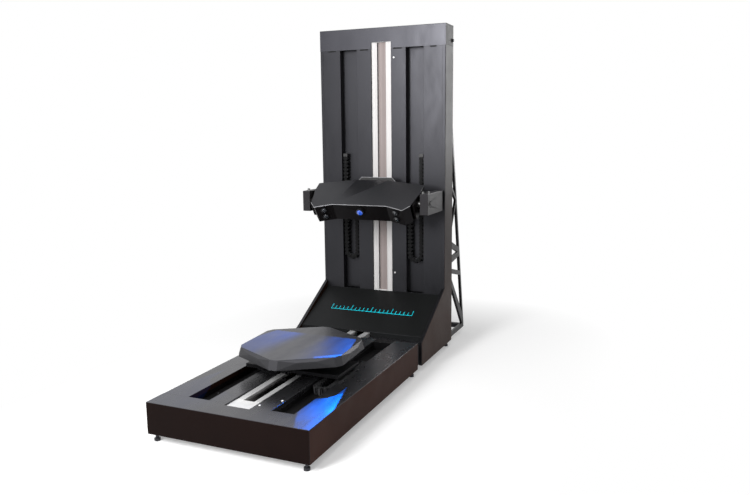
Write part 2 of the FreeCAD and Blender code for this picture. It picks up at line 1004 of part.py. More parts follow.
def chain_bend(module, x, middle, name):
    """Half turn of straight links at the end of the two legs."""
    full, core = chain_rises()
    turn = chain_radius.value
    centre = x.value
    along = module.run(middle).value
    spot = Vector(centre, along, 0) if module.flat else Vector(centre, 0, along)
    axis = Vector(0, 0, 1) if module.flat else Vector(0, 1, 0)
    way = -1 if module.flat else 1
    count = int(math.pi * turn // S.link_pitch.value) + 1
    step = 180 / count

    def link(half, rises, length, number):
        levels = sorted(module.rise(value).value for value in rises)
        size_along, size_up = length, levels[1] - levels[0]
        if module.flat:
            block = Part.makeBox(2 * half, size_along, size_up)
            block.translate(Vector(centre + turn - half, along - size_along / 2, levels[0]))
        else:
            block = Part.makeBox(2 * half, size_up, size_along)
            block.translate(Vector(centre + turn - half, levels[0], along - size_along / 2))
        block.rotate(spot, axis, way * (number + 0.5) * step)
        return block

    chord = 2 * turn * math.tan(math.radians(step / 2))
    solid = None
    for number in range(count):
        thin = link(S.link_core.value / 2, core, chord, number)
        thick = link(S.link_height.value / 2, full, chord - 2 * S.link_gap.value, number)
        solid = thin.fuse(thick) if solid is None else solid.fuse([thin, thick])
    # cut the outer links back to the plane where the legs begin
    reach = turn + S.link_height.value
    tall = S.link_width.value + 2
    low = min(module.rise(value).value for value in full) - 1
    if module.flat:
        room = Part.makeBox(2 * reach, reach, tall, Vector(centre - reach, along - reach, low))
    else:
        room = Part.makeBox(2 * reach, tall, reach, Vector(centre - reach, low, along - reach))
    made = doc.addObject("Part::Feature", name)
    made.Shape = solid.common(room).removeSplitter()
    return made


def drag_chains():
    middle = slot_middle
    high = S.total_height
    anchors, fixed, bends, moving = [], [], [], []
    full, _ = chain_rises()
    half = S.link_height / 2
    for side, word in SIDES:
        outer, inner = side * (middle + chain_radius), side * (middle - chain_radius)
        bend = high - lift_bend_high
        top = bend - S.lift_fixed_leg
        fixed.append(chain_leg(column, outer, top, bend - S.seam, "lift_leg_" + word))
        bends.append(chain_bend(column, side * middle, bend, "lift_bend_" + word))
        clamp = high - lift_clamp_high
        moving.append(chain_leg(column, inner, clamp, bend - S.seam, "lift_run_" + word))
        xs = (outer - half, outer + half)
        anchors.append(column.block("anchor", xs, (top - S.anchor, top), (-S.slot_depth, full[1])))
    group("lift_chain_fixed", fixed)
    group("lift_chain_bends", bends)
    group("lift_chain_moving", moving)

    outer, inner = middle + chain_radius, middle - chain_radius
    bend = base_bend_front
    end = bend + S.base_fixed_leg
    leg = chain_leg(base, outer, bend + S.seam, end, "base_chain_fixed")
    keep(leg, "base_chain_fixed")
    run = chain_leg(base, inner, bend + S.seam, base_clamp_back, "base_chain_moving")
    keep(run, "base_chain_moving")
    keep(chain_bend(base, middle, bend, "base_chain_bend"), "base_chain_bend")
    xs = (outer - half, outer + half)
    anchors.append(base.block("anchor", xs, (end, end + S.anchor), (-S.slot_depth, full[1])))
    group("chain_anchors", anchors)


def clamp_block(module, side, start, end, top, name):
    """Tab on a carriage that holds the moving end of a chain."""
    middle = slot_middle - chain_radius
    half = S.link_height / 2
    xs = (side * middle - half, side * middle + half)
    full, _ = chain_rises()
    return module.block(name, xs, (start, end), (full[0], top))


# Turntable on the base carriage


def flank_point(flank, out, along, height):
    """A point of the platform, from a flank's middle: out from the table's axis, and along the flank."""
    angle = math.radians(S.table_yaw.value + 30 + 60 * flank)
    x = out * math.cos(angle) - along * math.sin(angle)
    y = out * math.sin(angle) + along * math.cos(angle)
    return Vector(x, table_centre.value + y, height)


def solid_of(faces):
    """A closed solid from flat faces, each a list of corners."""
    made = [Part.Face(Part.makePolygon(corners + corners[:1])) for corners in faces]
    shell = Part.makeShell(made)
    shell.sewShape()
    solid = Part.makeSolid(shell)
    if solid.Volume < 0:
        solid.reverse()
    return solid


def hexagon_plate(name, radius, low, high):
    """A hexagonal plate about the table's axis, in line with the platform."""
    made = prism(name, 6, (0, table_centre), radius, low, high)
    made.Placement.Rotation = Rotation(Vector(0, 0, 1), S.table_yaw.value)
    bind(made, "Placement.Rotation.Angle", S.table_yaw)
    return made


def platform():
    """Faceted hexagonal platform. Each flank slopes out to a short ridge and turns under below it,
    with a facet at each end that runs down to the corner's toe."""
    low, high = platform_low.value, top_height.value
    ridge = high - S.ridge_drop.value
    edge_out = S.top_radius.value * math.cos(math.pi / 6)
    ridge_out = edge_out + S.ridge_flare.value
    toe_out = edge_out + S.toe_flare.value
    lean = math.tan(math.pi / 6)
    trim = S.corner_cut.value / 2 / math.cos(math.pi / 6)
    edge_half = edge_out * lean - trim
    toe_half = toe_out * lean - trim
    half = S.ridge_half.value
    top, bottom, faces = [], [], []
    for flank in range(6):

        def at(out, along, height, flank=flank):
            return flank_point(flank, out, along, height)

        edge = [at(edge_out, side * edge_half, high) for side in (-1, 1)]
        crest = [at(ridge_out, side * half, ridge) for side in (-1, 1)]
        toe = [at(toe_out, side * toe_half, low) for side in (-1, 1)]
        after = flank_point(flank + 1, edge_out, -edge_half, high)
        after_toe = flank_point(flank + 1, toe_out, -toe_half, low)
        faces += [
            [edge[0], edge[1], crest[1], crest[0]],
            [edge[0], crest[0], toe[0]],
            [edge[1], toe[1], crest[1]],
            [crest[0], crest[1], toe[1], toe[0]],
            [edge[1], after, after_toe, toe[1]],
        ]
        top += edge
        bottom += toe
    made = doc.addObject("Part::Feature", "platform_cover")
    made.Shape = solid_of(faces + [top, bottom])
    keep(made, "platform_cover")
    plate = hexagon_plate("platform_plate", S.top_radius - S.plate_inset, plate_low, platform_low)
    keep(plate, "platform_plate")


def belt(centre_x, low, high):
    """Toothed belt round the two pulleys, as a flat closed band."""
    gap, thick = S.belt_gap.value, S.belt_thick.value
    y = table_centre.value
    distance = -centre_x.value

    def loop(offset):
        large, small = S.big_pulley.value + offset, S.small_pulley.value + offset
        lean = math.acos((large - small) / distance)
        big = Vector(0, y, low.value)
        little = Vector(-distance, y, low.value)

        def on(centre, radius, angle):
            return centre + Vector(-radius * math.cos(angle), radius * math.sin(angle), 0)

        edges = [
            Part.Arc(on(big, large, lean), big + Vector(large, 0, 0), on(big, large, -lean)).toShape(),
            Part.LineSegment(on(big, large, -lean), on(little, small, -lean)).toShape(),
            Part.Arc(
                on(little, small, -lean), little + Vector(-small, 0, 0), on(little, small, lean)
            ).toShape(),
            Part.LineSegment(on(little, small, lean), on(big, large, lean)).toShape(),
        ]
        return Part.Face(Part.Wire(edges))

    height = Vector(0, 0, high.value - low.value)
    made = doc.addObject("Part::Feature", "drive_belt")
    made.Shape = loop(gap + thick).extrude(height).cut(loop(gap).extrude(height))
    keep(made, "drive_belt")


def turntable():
    motor_x = -slot_middle
    spot = (0, table_centre)

    pieces = saddle_parts(base, S.table_y, slot_outer - S.table_margin)
    tab_end = base_clamp_back + S.anchor
    pieces.append(clamp_block(base, 1, base_clamp_back, tab_end, S.saddle_gap, "base_tab"))
    hole = rod(
        "motor_hole", "Z", (motor_x, table_centre), S.small_pulley / 2 + S.seam,
        S.deck_height - S.slot_depth, saddle_top + 1,
    )
    keep(cut("base_saddle", fuse("base_saddle_body", pieces), hole), "base_saddle")
    nut(base, S.table_y, "base_nut")

    half = S.housing_side / 2
    ys = (table_centre - half, table_centre + half)
    housing = box("housing", (-half, half), ys, (saddle_top, housing_top))
    bore = rod("housing_bore", "Z", spot, S.hub_radius + S.running, saddle_top - 1, housing_top + 1)
    keep(cut("stage_housing", housing, bore), "stage_housing")

    low, high = pulley_low, pulley_high
    shaft = rod("hub_shaft", "Z", spot, S.hub_radius, saddle_top + S.seam, plate_low)
    wheel = prism("hub_wheel", 40, spot, S.big_pulley, low, high)
    flange = hexagon_plate("hub_flange", S.hub_flange_radius, plate_low - S.hub_flange, plate_low)
    keep(fuse("platform_hub", [shaft, wheel, flange]), "platform_hub")

    half = S.table_motor / 2
    xs = (motor_x - half, motor_x + half)
    ys = (table_centre - half, table_centre + half)
    zs = (S.deck_height - S.slot_depth + S.chain_cover, S.deck_height + S.saddle_gap)
    keep(box("turntable_motor", xs, ys, zs), "turntable_motor")
    motor_top = S.deck_height + S.saddle_gap + S.seam
    spindle = rod("pulley_shaft", "Z", (motor_x, table_centre), S.small_pulley / 2, motor_top, high)
    wheel = prism("pulley_wheel", 20, (motor_x, table_centre), S.small_pulley, low, high)
    keep(fuse("motor_pulley", [spindle, wheel]), "motor_pulley")
    belt(motor_x, low, high)
    platform()


# Lift carriage and yoke


def lift_carriage():
    run = S.total_height - S.head_height
    keep(fuse("lift_saddle", saddle_parts(column, run, S.saddle_half)), "lift_saddle")
    nut(column, run, "lift_nut")

    behind = column_face - S.saddle_gap - S.saddle_thick
    ahead = behind - S.beam_thick
    height = S.head_height
    inner = yoke_inner
    pieces = [box("beam", (-inner, inner), (ahead, behind), (height - S.beam_low, height + S.beam_high))]
    clamp = S.total_height - lift_clamp_high
    for side, _ in SIDES:
        rise = S.saddle_gap + S.saddle_thick
        pieces.append(clamp_block(column, side, clamp - S.anchor, clamp, rise, "lift_tab"))
    keep(fuse("yoke_beam", pieces), "yoke_beam")

    bracket = new_body("lift_bracket")
    half, bevel = S.bracket_half, S.bracket_bevel
    top, low = height + S.bracket_high, height - S.beam_low
    shape = [
        (-half, low),
        (half, low),
        (half, top - bevel),
        (half - bevel, top),
        (-half + bevel, top),
        (-half, top - bevel),
    ]
    pad(bracket, "XZ", ahead - S.bracket_thick, ahead, shape)
    keep(bracket, "lift_bracket")

    for side, word in SIDES:
        arm = new_body("yoke_arm_" + word)
        xs = across(side, inner, yoke_outer)
        shape = [
            (column_face - S.arm_length, height - S.arm_low),
            (column_face - S.arm_length, height + S.arm_high),
            (column_face - S.arm_gap, height + S.arm_high),
            (column_face - S.arm_gap, height - S.arm_low),
        ]
        pad(arm, "YZ", xs[0], xs[1], shape)
        axis = ((tilt_y, height), S.pin_radius + S.running)
        pocket(arm, "YZ", xs[0] - 1, xs[1] + 1, hole=axis)
        keep(arm, "yoke_arm_" + word)


# Scanner head, modelled about its tilt axis and then turned down


def tilted(item, label):
    """Set a head piece at the tilt axis, nose down."""
    place(item, 0, tilt_y, S.head_height, Rotation(Vector(1, 0, 0), S.head_tilt.value))
    bind(item, "Placement.Rotation.Angle", S.head_tilt)
    return keep(item, label)


def head_outline():
    """Head seen from above: straight in the middle, wings swept forward, shoulders at the sides."""
    half = [
        (front_half, -S.front_reach),
        (wing_half, -wing_reach),
        (shoulder_half, -S.shoulder_reach),
        (S.head_half, S.head_shoulder),
        (S.head_half, S.head_back),
        (S.bulge_half, S.head_back + S.head_bulge),
    ]
    return [(-x, y) for x, y in reversed(half)] + half


def scanner_head():
    top, bottom, wall = S.head_top, -S.head_bottom, S.sheet
    cover = new_body("head_cover")
    pad(cover, "XY", top - wall, top, head_outline())
    rear = [
        (-side_half, S.head_back - wall),
        (side_half, S.head_back - wall),
        (side_half, S.head_back),
        (-side_half, S.head_back),
    ]
    pad(cover, "XY", top - S.flange, top - wall, rear)
    tilted(cover, "head_cover")

    bezel = new_body("head_bezel")
    lip, thick = S.overhang, S.bezel
    outside = [
        (front_half, -S.front_reach + lip),
        (wing_half - lip, -wing_reach + lip),
        (shoulder_half - lip, -S.shoulder_reach + lip),
    ]
    inside = [
        (shoulder_half - lip - thick, -S.shoulder_reach + lip),
        (wing_half - lip - thick, -wing_reach + lip + thick),
        (front_half + 1, -S.front_reach + lip + thick),
    ]
    band = [(-x, y) for x, y in reversed(outside)] + outside + inside + [(-x, y) for x, y in reversed(inside)]
    pad(bezel, "XY", bottom, top - wall, band)
    centre = ((0, S.lens_height), S.lens_radius + S.seam)
    pocket(bezel, "XZ", -wing_reach, -S.front_reach + 4 * thick, hole=centre)
    for side, _ in SIDES:
        for level in (S.camera_high, -S.camera_low):
            spot = ((side * camera_x, level), S.camera_radius + 1)
            pocket(bezel, "XZ", -wing_reach - thick, -S.front_reach + 2 * thick, hole=spot)
    tilted(bezel, "head_bezel")

    floor = new_body("head_base")
    pad(floor, "XY", bottom, bottom + wall, base_plate())
    wall_back = [
        (-side_half + S.side_thick, S.head_back - 2 * wall),
        (side_half - S.side_thick, S.head_back - 2 * wall),
        (side_half - S.side_thick, S.head_back - wall),
        (-side_half + S.side_thick, S.head_back - wall),
    ]
    pad(floor, "XY", bottom + wall, top - wall, wall_back)
    tilted(floor, "head_base")

    plates = []
    for side, _ in SIDES:
        body = new_body("head_side_plate")
        xs = across(side, side_half - S.side_thick, side_half)
        shape = [
            (-S.shoulder_reach + S.side_thick, bottom + S.side_thick),
            (-S.shoulder_reach + S.side_thick, top - wall),
            (S.head_back - wall, top - wall),
            (S.head_back - wall, bottom + S.side_thick * 2),
            (S.head_back - wall * 4, bottom),
            (S.side_thick - S.shoulder_reach + S.side_thick, bottom),
        ]
        pad(body, "YZ", xs[0], xs[1], shape)
        pocket(body, "YZ", xs[0] - 1, xs[1] + 1, hole=((0, 0), S.pin_radius + S.running))
        plates.append(body)
    group_tilted(plates, "head_side_plates")

    pins = []
    for side, word in SIDES:
        xs = across(side, side_half - S.side_thick * 2, yoke_outer - S.sheet)
        pins.append(rod("tilt_pin", "X", (0, 0), S.pin_radius, xs[0], xs[1]))
    group_tilted(pins, "tilt_pins")

    body_half = S.projector_half
    rear_face = S.head_back - 4 * wall
    block = box(
        "projector",
        (-body_half, body_half),
        (-S.front_reach + lip + thick + S.seam, rear_face),
        (bottom + wall, top - 2 * wall),
    )
    group_tilted([block], "projector_body")
    start = -S.front_reach + lip - S.lens_reach
    end = -S.front_reach + lip + thick + S.seam
    barrel = lens_bar("barrel", S.lens_radius, start, end)
    mouth = lens_bar("mouth", S.lens_radius - S.lens_wall, start - 1, start + S.lens_wall)
    tilted(cut("projector_lens", barrel, mouth), "projector_lens")

    bodies, lenses, glasses = [], [], []
    seat = start + S.lens_wall
    disc = disc_of_glass(S.lens_radius - S.lens_wall - S.seam, S.glass_thick)
    glasses.append(place(disc, 0, seat - S.glass_thick, S.lens_height, TURNS["Y"]))
    toe = math.degrees(
        math.atan2(
            wing_reach.value - S.front_reach.value, wing_half.value - front_half.value
        )
    )
    share = (camera_x - front_half) / (wing_half - front_half)
    face_y = -S.front_reach + lip - (wing_reach - S.front_reach) * share
    for side, _ in SIDES:
        turn = Rotation(Vector(0, 0, 1), -side * toe)
        for level in (S.camera_high, -S.camera_low):
            spot = (side * camera_x, face_y, level)
            lenses.append(camera_barrel(turn, spot))
            disc = disc_of_glass(S.camera_radius - S.camera_wall - S.seam, S.glass_thick)
            glasses.append(set_back(disc, turn, spot, S.camera_recess - S.glass_thick - S.camera_reach))
        bodies.append(camera_box(turn, (side * camera_x, face_y)))
    group_tilted(bodies, "camera_bodies")
    group_tilted(lenses, "camera_lenses")
    group_tilted(glasses, "lens_glasses")


def base_plate():
    """Floor of the head: the outline of the cover, drawn in to the side plates."""
    back = S.overhang + S.bezel
    half = [
        (front_half, -S.front_reach + back + S.seam),
        (wing_half - back - S.sheet, -wing_reach + back + S.sheet),
        (shoulder_half - back - S.sheet, -S.shoulder_reach + back),
        (side_half - S.side_thick, -S.shoulder_reach + S.side_thick * 2),
        (side_half - S.side_thick, S.head_back - S.sheet),
    ]
    return [(-x, y) for x, y in reversed(half)] + half


def group_tilted(pieces, label):
    made = doc.addObject("Part::Compound", label)
    made.Links = pieces
    return tilted(made, label)


def lens_bar(name, radius, start, end):
    """A round bar along the projector's axis, in forty flats."""
    made = prism(name, 40, (0, 0), radius, start, end)
    return place(made, 0, start, S.lens_height, TURNS["Y"])


def disc_of_glass(radius, thick):
    return prism("lens_glass", 20, (0, 0), radius, size(0), thick)


def set_back(item, turn, spot, depth):
    """Place an upright item square to a wing's face, from a depth behind it."""
    back = turn.multVec(Vector(0, size(depth).value, 0))
    x, y, level = spot
    return place(item, x + back.x, y + back.y, level, turn.multiply(TURNS["Y"]))


def facing(name, turn, spot, radius, start, length):
    """A cylinder square to a wing's face, from a depth behind it."""
    made = doc.addObject("Part::Cylinder", name)
    bind(made, "Radius", radius)
    bind(made, "Height", length)
    return set_back(made, turn, spot, start)


def camera_barrel(turn, spot):
    """Lens barrel with a recessed mouth."""
    deep = S.camera_reach + S.bezel + 4
    outer = facing("camera_barrel", turn, spot, S.camera_radius, -S.camera_reach, deep)
    radius = S.camera_radius - S.camera_wall
    mouth = facing("camera_mouth", turn, spot, radius, -S.camera_reach - 1, S.camera_recess + 1)
    return cut("camera_lens", outer, mouth)


def camera_box(turn, spot):
    """Camera housing behind a wing, one for the pair of lenses."""
    made = doc.addObject("Part::Box", "camera_box")
    depth = S.bezel.value + 4
    corner = turn.multVec(Vector(-S.camera_side.value / 2, depth, 0))
    bind(made, "Length", S.camera_side)
    bind(made, "Width", S.camera_length)
    bind(made, "Height", S.head_top + S.head_bottom - 4 * S.sheet)
    place(made, spot[0] + corner.x, spot[1] + corner.y, -S.head_bottom + S.sheet, turn)
    return made


def check():
    """Stop unless every object is up to date, every shape is sound and every cut took material."""
    doc.recompute()
    for item in doc.Objects:
        if "Invalid" in item.State or "Error" in item.State:
            raise RuntimeError("%s did not build: %s" % (item.Label, item.State))
    for made, before in cuts:
        if made.Shape.Volume >= before.Shape.Volume - 1e-6:
            raise RuntimeError("%s took nothing away" % made.Label)
    for item in parts:
        if item.Shape.isNull() or not item.Shape.isValid() or not item.Shape.Solids:
            raise RuntimeError("%s has no sound shape" % item.Label)


def main():
    base_housing()
    column_housing()
    for side, word in SIDES:
        truss(side, word)
    inner_frame()
    levelling_feet()
    linear_axes()
    turntable()
    lift_carriage()
    drag_chains()
    scanner_head()
    check()
    os.makedirs("parts", exist_ok=True)
    for item in parts:
        item.Shape.exportStep("parts/%s.step" % item.Label)
    whole = Part.makeCompound([item.Shape for item in parts]).BoundBox
    print("%d nodes, box %s" % (len(parts), whole))


main()
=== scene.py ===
"""Scanning station: finishes, small pieces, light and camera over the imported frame.

Everything is in metres in the frame's own coordinates: +Z up, +X the right-hand side, and the
front faces -Y.
"""
import math
import bpy
import bmesh
from mathutils import Matrix, Vector


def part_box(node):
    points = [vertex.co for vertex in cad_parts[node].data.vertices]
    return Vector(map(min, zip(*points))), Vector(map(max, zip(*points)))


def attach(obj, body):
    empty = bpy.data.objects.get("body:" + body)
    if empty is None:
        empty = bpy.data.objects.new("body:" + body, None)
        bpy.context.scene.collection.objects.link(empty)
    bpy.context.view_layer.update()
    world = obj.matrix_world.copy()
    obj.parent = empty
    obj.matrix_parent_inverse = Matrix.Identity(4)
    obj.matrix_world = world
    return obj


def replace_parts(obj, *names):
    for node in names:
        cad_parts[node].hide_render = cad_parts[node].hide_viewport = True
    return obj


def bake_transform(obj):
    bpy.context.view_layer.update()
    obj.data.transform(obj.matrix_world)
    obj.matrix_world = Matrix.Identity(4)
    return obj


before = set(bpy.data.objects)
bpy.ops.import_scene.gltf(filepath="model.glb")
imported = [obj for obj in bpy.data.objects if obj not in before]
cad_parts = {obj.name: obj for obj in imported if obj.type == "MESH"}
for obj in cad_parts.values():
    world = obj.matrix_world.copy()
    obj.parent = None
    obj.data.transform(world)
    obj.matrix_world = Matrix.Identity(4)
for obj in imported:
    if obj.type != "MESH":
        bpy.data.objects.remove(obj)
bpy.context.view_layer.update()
scene = bpy.context.scene
MM = 0.001
SIDES = ((-1, "left"), (1, "right"))

# The base's front and top, and the column's front, from the solids
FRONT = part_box("base_front_cover")[0].y
DECK_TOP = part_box("base_front_cover")[1].z
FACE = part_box("column_cap")[0].y

# The head's frame stands on the tilt axis and leans by its angle at rest
PIVOT = Vector((0, FRONT + 0.950, 0.597))
HEAD_TILT = 33.4
HEAD = Matrix.Translation(PIVOT) @ Matrix.Rotation(math.radians(HEAD_TILT), 4, "X")

# The head's front in that frame, in mm: a straight middle and two wings that come forward
MIDDLE_HALF = 109
MIDDLE_FRONT = -57
WING_RUN = 68
WING_STEP = 21
WING_END = (199, -51)
COVER_LIP = 2
PROJECTOR_LEVEL = 3
CAMERA_X = 145
CAMERA_LEVELS = (12, -18)
SWEEP = math.atan2(WING_STEP, WING_RUN)
WING_FACE = (MIDDLE_FRONT + COVER_LIP - WING_STEP * (CAMERA_X - MIDDLE_HALF) / WING_RUN) * MM


# Camera


# Solved from the corners of the base and the column: metres, degrees, millimetres
CAMERA_PLACE = (1.110, FRONT - 1.524, 0.873)
HEADING = 23.47
DOWNWARD = 9.38
ROLL = -0.61
FOCAL_LENGTH = 34.8


def make_camera():
    """The camera that took the photograph."""
    data = bpy.data.cameras.new("camera")
    data.sensor_width = 36
    data.lens = FOCAL_LENGTH
    data.clip_start = 0.05
    camera = bpy.data.objects.new("camera", data)
    scene.collection.objects.link(camera)
    turn = (
        Matrix.Rotation(math.radians(HEADING), 4, "Z")
        @ Matrix.Rotation(math.radians(90 - DOWNWARD), 4, "X")
        @ Matrix.Rotation(math.radians(ROLL), 4, "Z")
    )
    camera.matrix_world = Matrix.Translation(CAMERA_PLACE) @ turn
    scene.camera = camera


# Materials


def calculate(tree, kind, *values):
    """A maths node fed with sockets or numbers."""
    made = tree.nodes.new("ShaderNodeMath")
    made.operation = kind
    for socket, value in zip(made.inputs, values):
        if hasattr(value, "links"):
            tree.links.new(value, socket)
        else:
            socket.default_value = value
    return made.outputs[0]


def map_range(tree, source, low, high, start=0.0, end=1.0):
    """Carry start to low and end to high, and hold the value beyond them."""
    made = tree.nodes.new("ShaderNodeMapRange")
    made.inputs["From Min"].default_value = start
    made.inputs["From Max"].default_value = end
    made.inputs["To Min"].default_value = low
    made.inputs["To Max"].default_value = high
    tree.links.new(source, made.inputs["Value"])
    return made.outputs["Result"]


class Shader:
    """A principled material with short calls for its nodes."""

    def __init__(self, name, colour, rough, metallic=0.0, specular=0.5, coat=0.0):
        self.material = bpy.data.materials.new(name)
        self.material.use_nodes = True
        self.tree = self.material.node_tree
        self.main = self.tree.nodes["Principled BSDF"]
        self.main.inputs["Base Color"].default_value = (*colour, 1)
        self.main.inputs["Roughness"].default_value = rough
        self.main.inputs["Metallic"].default_value = metallic
        self.main.inputs["Specular IOR Level"].default_value = specular
        self.main.inputs["Coat Weight"].default_value = coat
        self.material.diffuse_color = (*colour, 1)

    def node(self, kind, **values):
        made = self.tree.nodes.new("ShaderNode" + kind)
        for key, value in values.items():
            if key in made.inputs:
                made.inputs[key].default_value = value
            else:
                setattr(made, key, value)
        return made

    def link(self, source, target):
        self.tree.links.new(source, target)

    def noise(self, scale, stretch=(1, 1, 1), detail=4.0, rough=0.55):
        """Noise in the piece's own metres; scale is features per metre."""
        place = self.node("TexCoord")
        mapping = self.node("Mapping")
        mapping.inputs["Scale"].default_value = stretch
        self.link(place.outputs["Object"], mapping.inputs["Vector"])
        made = self.node("TexNoise", Scale=scale, Detail=detail, Roughness=rough)
        self.link(mapping.outputs["Vector"], made.inputs["Vector"])
        return made.outputs["Fac"]

    def ramp(self, source, low, high, dark, light):
        """Map a factor between two values to two greys or colours."""
        made = self.node("ValToRGB")
        for stop, where, colour in zip(made.color_ramp.elements, (low, high), (dark, light)):
            stop.position = where
            stop.color = (*colour, 1) if isinstance(colour, tuple) else (colour, colour, colour, 1)
        self.link(source, made.inputs["Fac"])
        return made.outputs["Color"]

    def facing(self, axis):
        """1 on the faces square to an axis of the piece, 0 on the others."""
        place = self.node("TexCoord")
        parts = self.node("SeparateXYZ")
        self.link(place.outputs["Normal"], parts.inputs[0])
        along = calculate(self.tree, "ABSOLUTE", parts.outputs[axis])
        return map_range(self.tree, along, 0.0, 1.0, 0.6, 0.8)

    def height(self, low, high):
        """0 at one level of the piece, 1 at another."""
        place = self.node("TexCoord")
        parts = self.node("SeparateXYZ")
        self.link(place.outputs["Object"], parts.inputs[0])
        return map_range(self.tree, parts.outputs["Z"], 0.0, 1.0, low, high)

    def colour(self, source):
        self.link(source, self.main.inputs["Base Color"])

    def roughness(self, source):
        self.link(source, self.main.inputs["Roughness"])

    def mix(self, factor, first, second, blend="MIX"):
        made = self.node("Mix", data_type="RGBA", blend_type=blend)
        sockets = (made.inputs[0], made.inputs[6], made.inputs[7])
        for socket, value in zip(sockets, (factor, first, second)):
            if hasattr(value, "links"):
                self.link(value, socket)
            else:
                socket.default_value = value
        return made.outputs[2]

    def bump(self, source, strength, distance, after=None):
        made = self.node("Bump", Strength=strength, Distance=distance)
        self.link(source, made.inputs["Height"])
        if after:
            self.link(after.outputs["Normal"], made.inputs["Normal"])
        self.link(made.outputs["Normal"], self.main.inputs["Normal"])
        return made


def scaled(colour, factor):
    return tuple(channel * factor for channel in colour)


def powder(name, colour, rough, grain=0.10, specular=0.5, scale=1500, square=None, high=None):
    """Powder coat: fine orange peel, slow changes of tone, faint rubbed patches.

    square is (axis, colour, specular level, roughness) for the faces square to an axis;
    high is the colour that those faces turn to at the top of a tall piece: painted light, lighter where
    the lamps fall stronger.
    """
    made = Shader(name, colour, rough, specular=specular)
    made.main.inputs["Specular Tint"].default_value = SHEEN_TINT
    slow = made.noise(4.0, detail=3.0)
    smear = made.noise(22.0, stretch=(1, 0.35, 0.35), detail=6.0, rough=0.62)

    def tone(middle):
        return made.ramp(slow, 0.3, 0.7, scaled(middle, 0.82), scaled(middle, 1.18))

    def blur(middle):
        return made.ramp(smear, 0.25, 0.75, middle - 0.06, middle + 0.07)

    surface, sheen = tone(colour), blur(rough)
    if square:
        axis, other, gloss, smooth = square
        there = made.facing(axis)
        aside = tone(other)
        # Painted light: the square faces turn lighter and greyer towards the top of the piece
        if high:
            aside = made.mix(made.height(0.15, 0.85), aside, tone(high))
        surface = made.mix(there, surface, aside)
        sheen = made.mix(there, sheen, blur(smooth))
        level = map_range(made.tree, there, specular, gloss)
        made.link(level, made.main.inputs["Specular IOR Level"])
    made.colour(surface)
    made.roughness(sheen)
    peel = made.bump(made.noise(scale, detail=2.0), grain, 0.00035)
    made.bump(made.noise(90.0, detail=1.0), 0.03, 0.0006, after=peel)
    return made.material


def brushed(name, colour, rough, along, metallic, streak=0.16, lines=0.0, lying=None):
    """Metal with fine lines along one axis.

    lines darkens broader streaks; lying is (colour, roughness) for the faces that look up.
    """
    stretch = tuple(0.012 if axis == along else 1.0 for axis in "XYZ")
    made = Shader(name, colour, rough, metallic=metallic)
    fine = made.noise(900.0, stretch=stretch, detail=4.0)
    broad = made.noise(5.0, detail=3.0)
    tone = made.ramp(fine, 0.3, 0.7, scaled(colour, 0.92), scaled(colour, 1.048))
    shade = made.ramp(broad, 0.3, 0.7, 0.93, 1.0)
    tone = made.mix(1.0, tone, shade, "MULTIPLY")
    if lines:
        drawn_out = tuple(0.001 if axis == along else 1.0 for axis in "XYZ")
        drawn = made.noise(130.0, stretch=drawn_out, detail=1.0)
        tone = made.mix(1.0, tone, made.ramp(drawn, 0.35, 0.65, 1.0 - lines, 1.0), "MULTIPLY")
    sheen = made.ramp(fine, 0.3, 0.7, rough - 0.05, rough + 0.06)
    if lying:
        other, smooth = lying
        there = made.facing("Z")
        above = made.ramp(fine, 0.3, 0.7, scaled(other, 0.9), scaled(other, 1.05))
        tone = made.mix(there, tone, above)
        sheen = made.mix(there, sheen, made.ramp(fine, 0.3, 0.7, smooth - 0.03, smooth + 0.04))
        made.link(map_range(made.tree, there, metallic, 1.0), made.main.inputs["Metallic"])
    made.colour(tone)
    made.roughness(sheen)
    made.bump(fine, streak, 0.0001)
    return made.material


def moulded(name, colour, rough, grain=0.12, specular=0.5):
    """Injection-moulded plastic with a light spark-eroded grain."""
    made = Shader(name, colour, rough, specular=specular)
    slow = made.noise(30.0, detail=2.0)
    made.colour(made.ramp(slow, 0.3, 0.7, scaled(colour, 0.85), scaled(colour, 1.15)))
    made.roughness(made.ramp(made.noise(60.0), 0.3, 0.7, rough - 0.05, rough + 0.06))
    made.bump(made.noise(2600.0, detail=2.0), grain, 0.0002)
    return made.material


def turned(name, colour, rough, metallic=1.0):
    """Machined or plated metal with a faint all-over grain."""
    made = Shader(name, colour, rough, metallic=metallic)
    grain = made.noise(1800.0, detail=3.0)
    made.colour(made.ramp(made.noise(60.0), 0.3, 0.7, scaled(colour, 0.88), scaled(colour, 1.05)))
    made.roughness(made.ramp(grain, 0.3, 0.7, rough - 0.05, rough + 0.08))
    made.bump(grain, 0.06, 0.0001)
    return made.material


def coated_glass(name, colour, glow=0.0):
    """Front element of a lens, dark with a coloured coating."""
    made = Shader(name, colour, 0.04, specular=0.8, coat=1.0)
    made.main.inputs["Coat Roughness"].default_value = 0.02
    rim = made.node("LayerWeight", Blend=0.35)
    tint = made.ramp(rim.outputs["Facing"], 0.15, 0.9, colour, scaled(colour, 0.25))
    made.colour(tint)
    made.roughness(made.ramp(made.noise(300.0), 0.3, 0.7, 0.03, 0.07))
    if glow:
        made.main.inputs["Emission Color"].default_value = (0.02, 0.16, 1.0, 1)
        made.main.inputs["Emission Strength"].default_value = glow
    return made.material


# The sheen of every paint is a little blue; the column's front pieces share one dark tone
SHEEN_TINT = (0.90, 0.90, 1.0, 1.0)
FRONT_TONE = (0.0040, 0.0040, 0.0045)
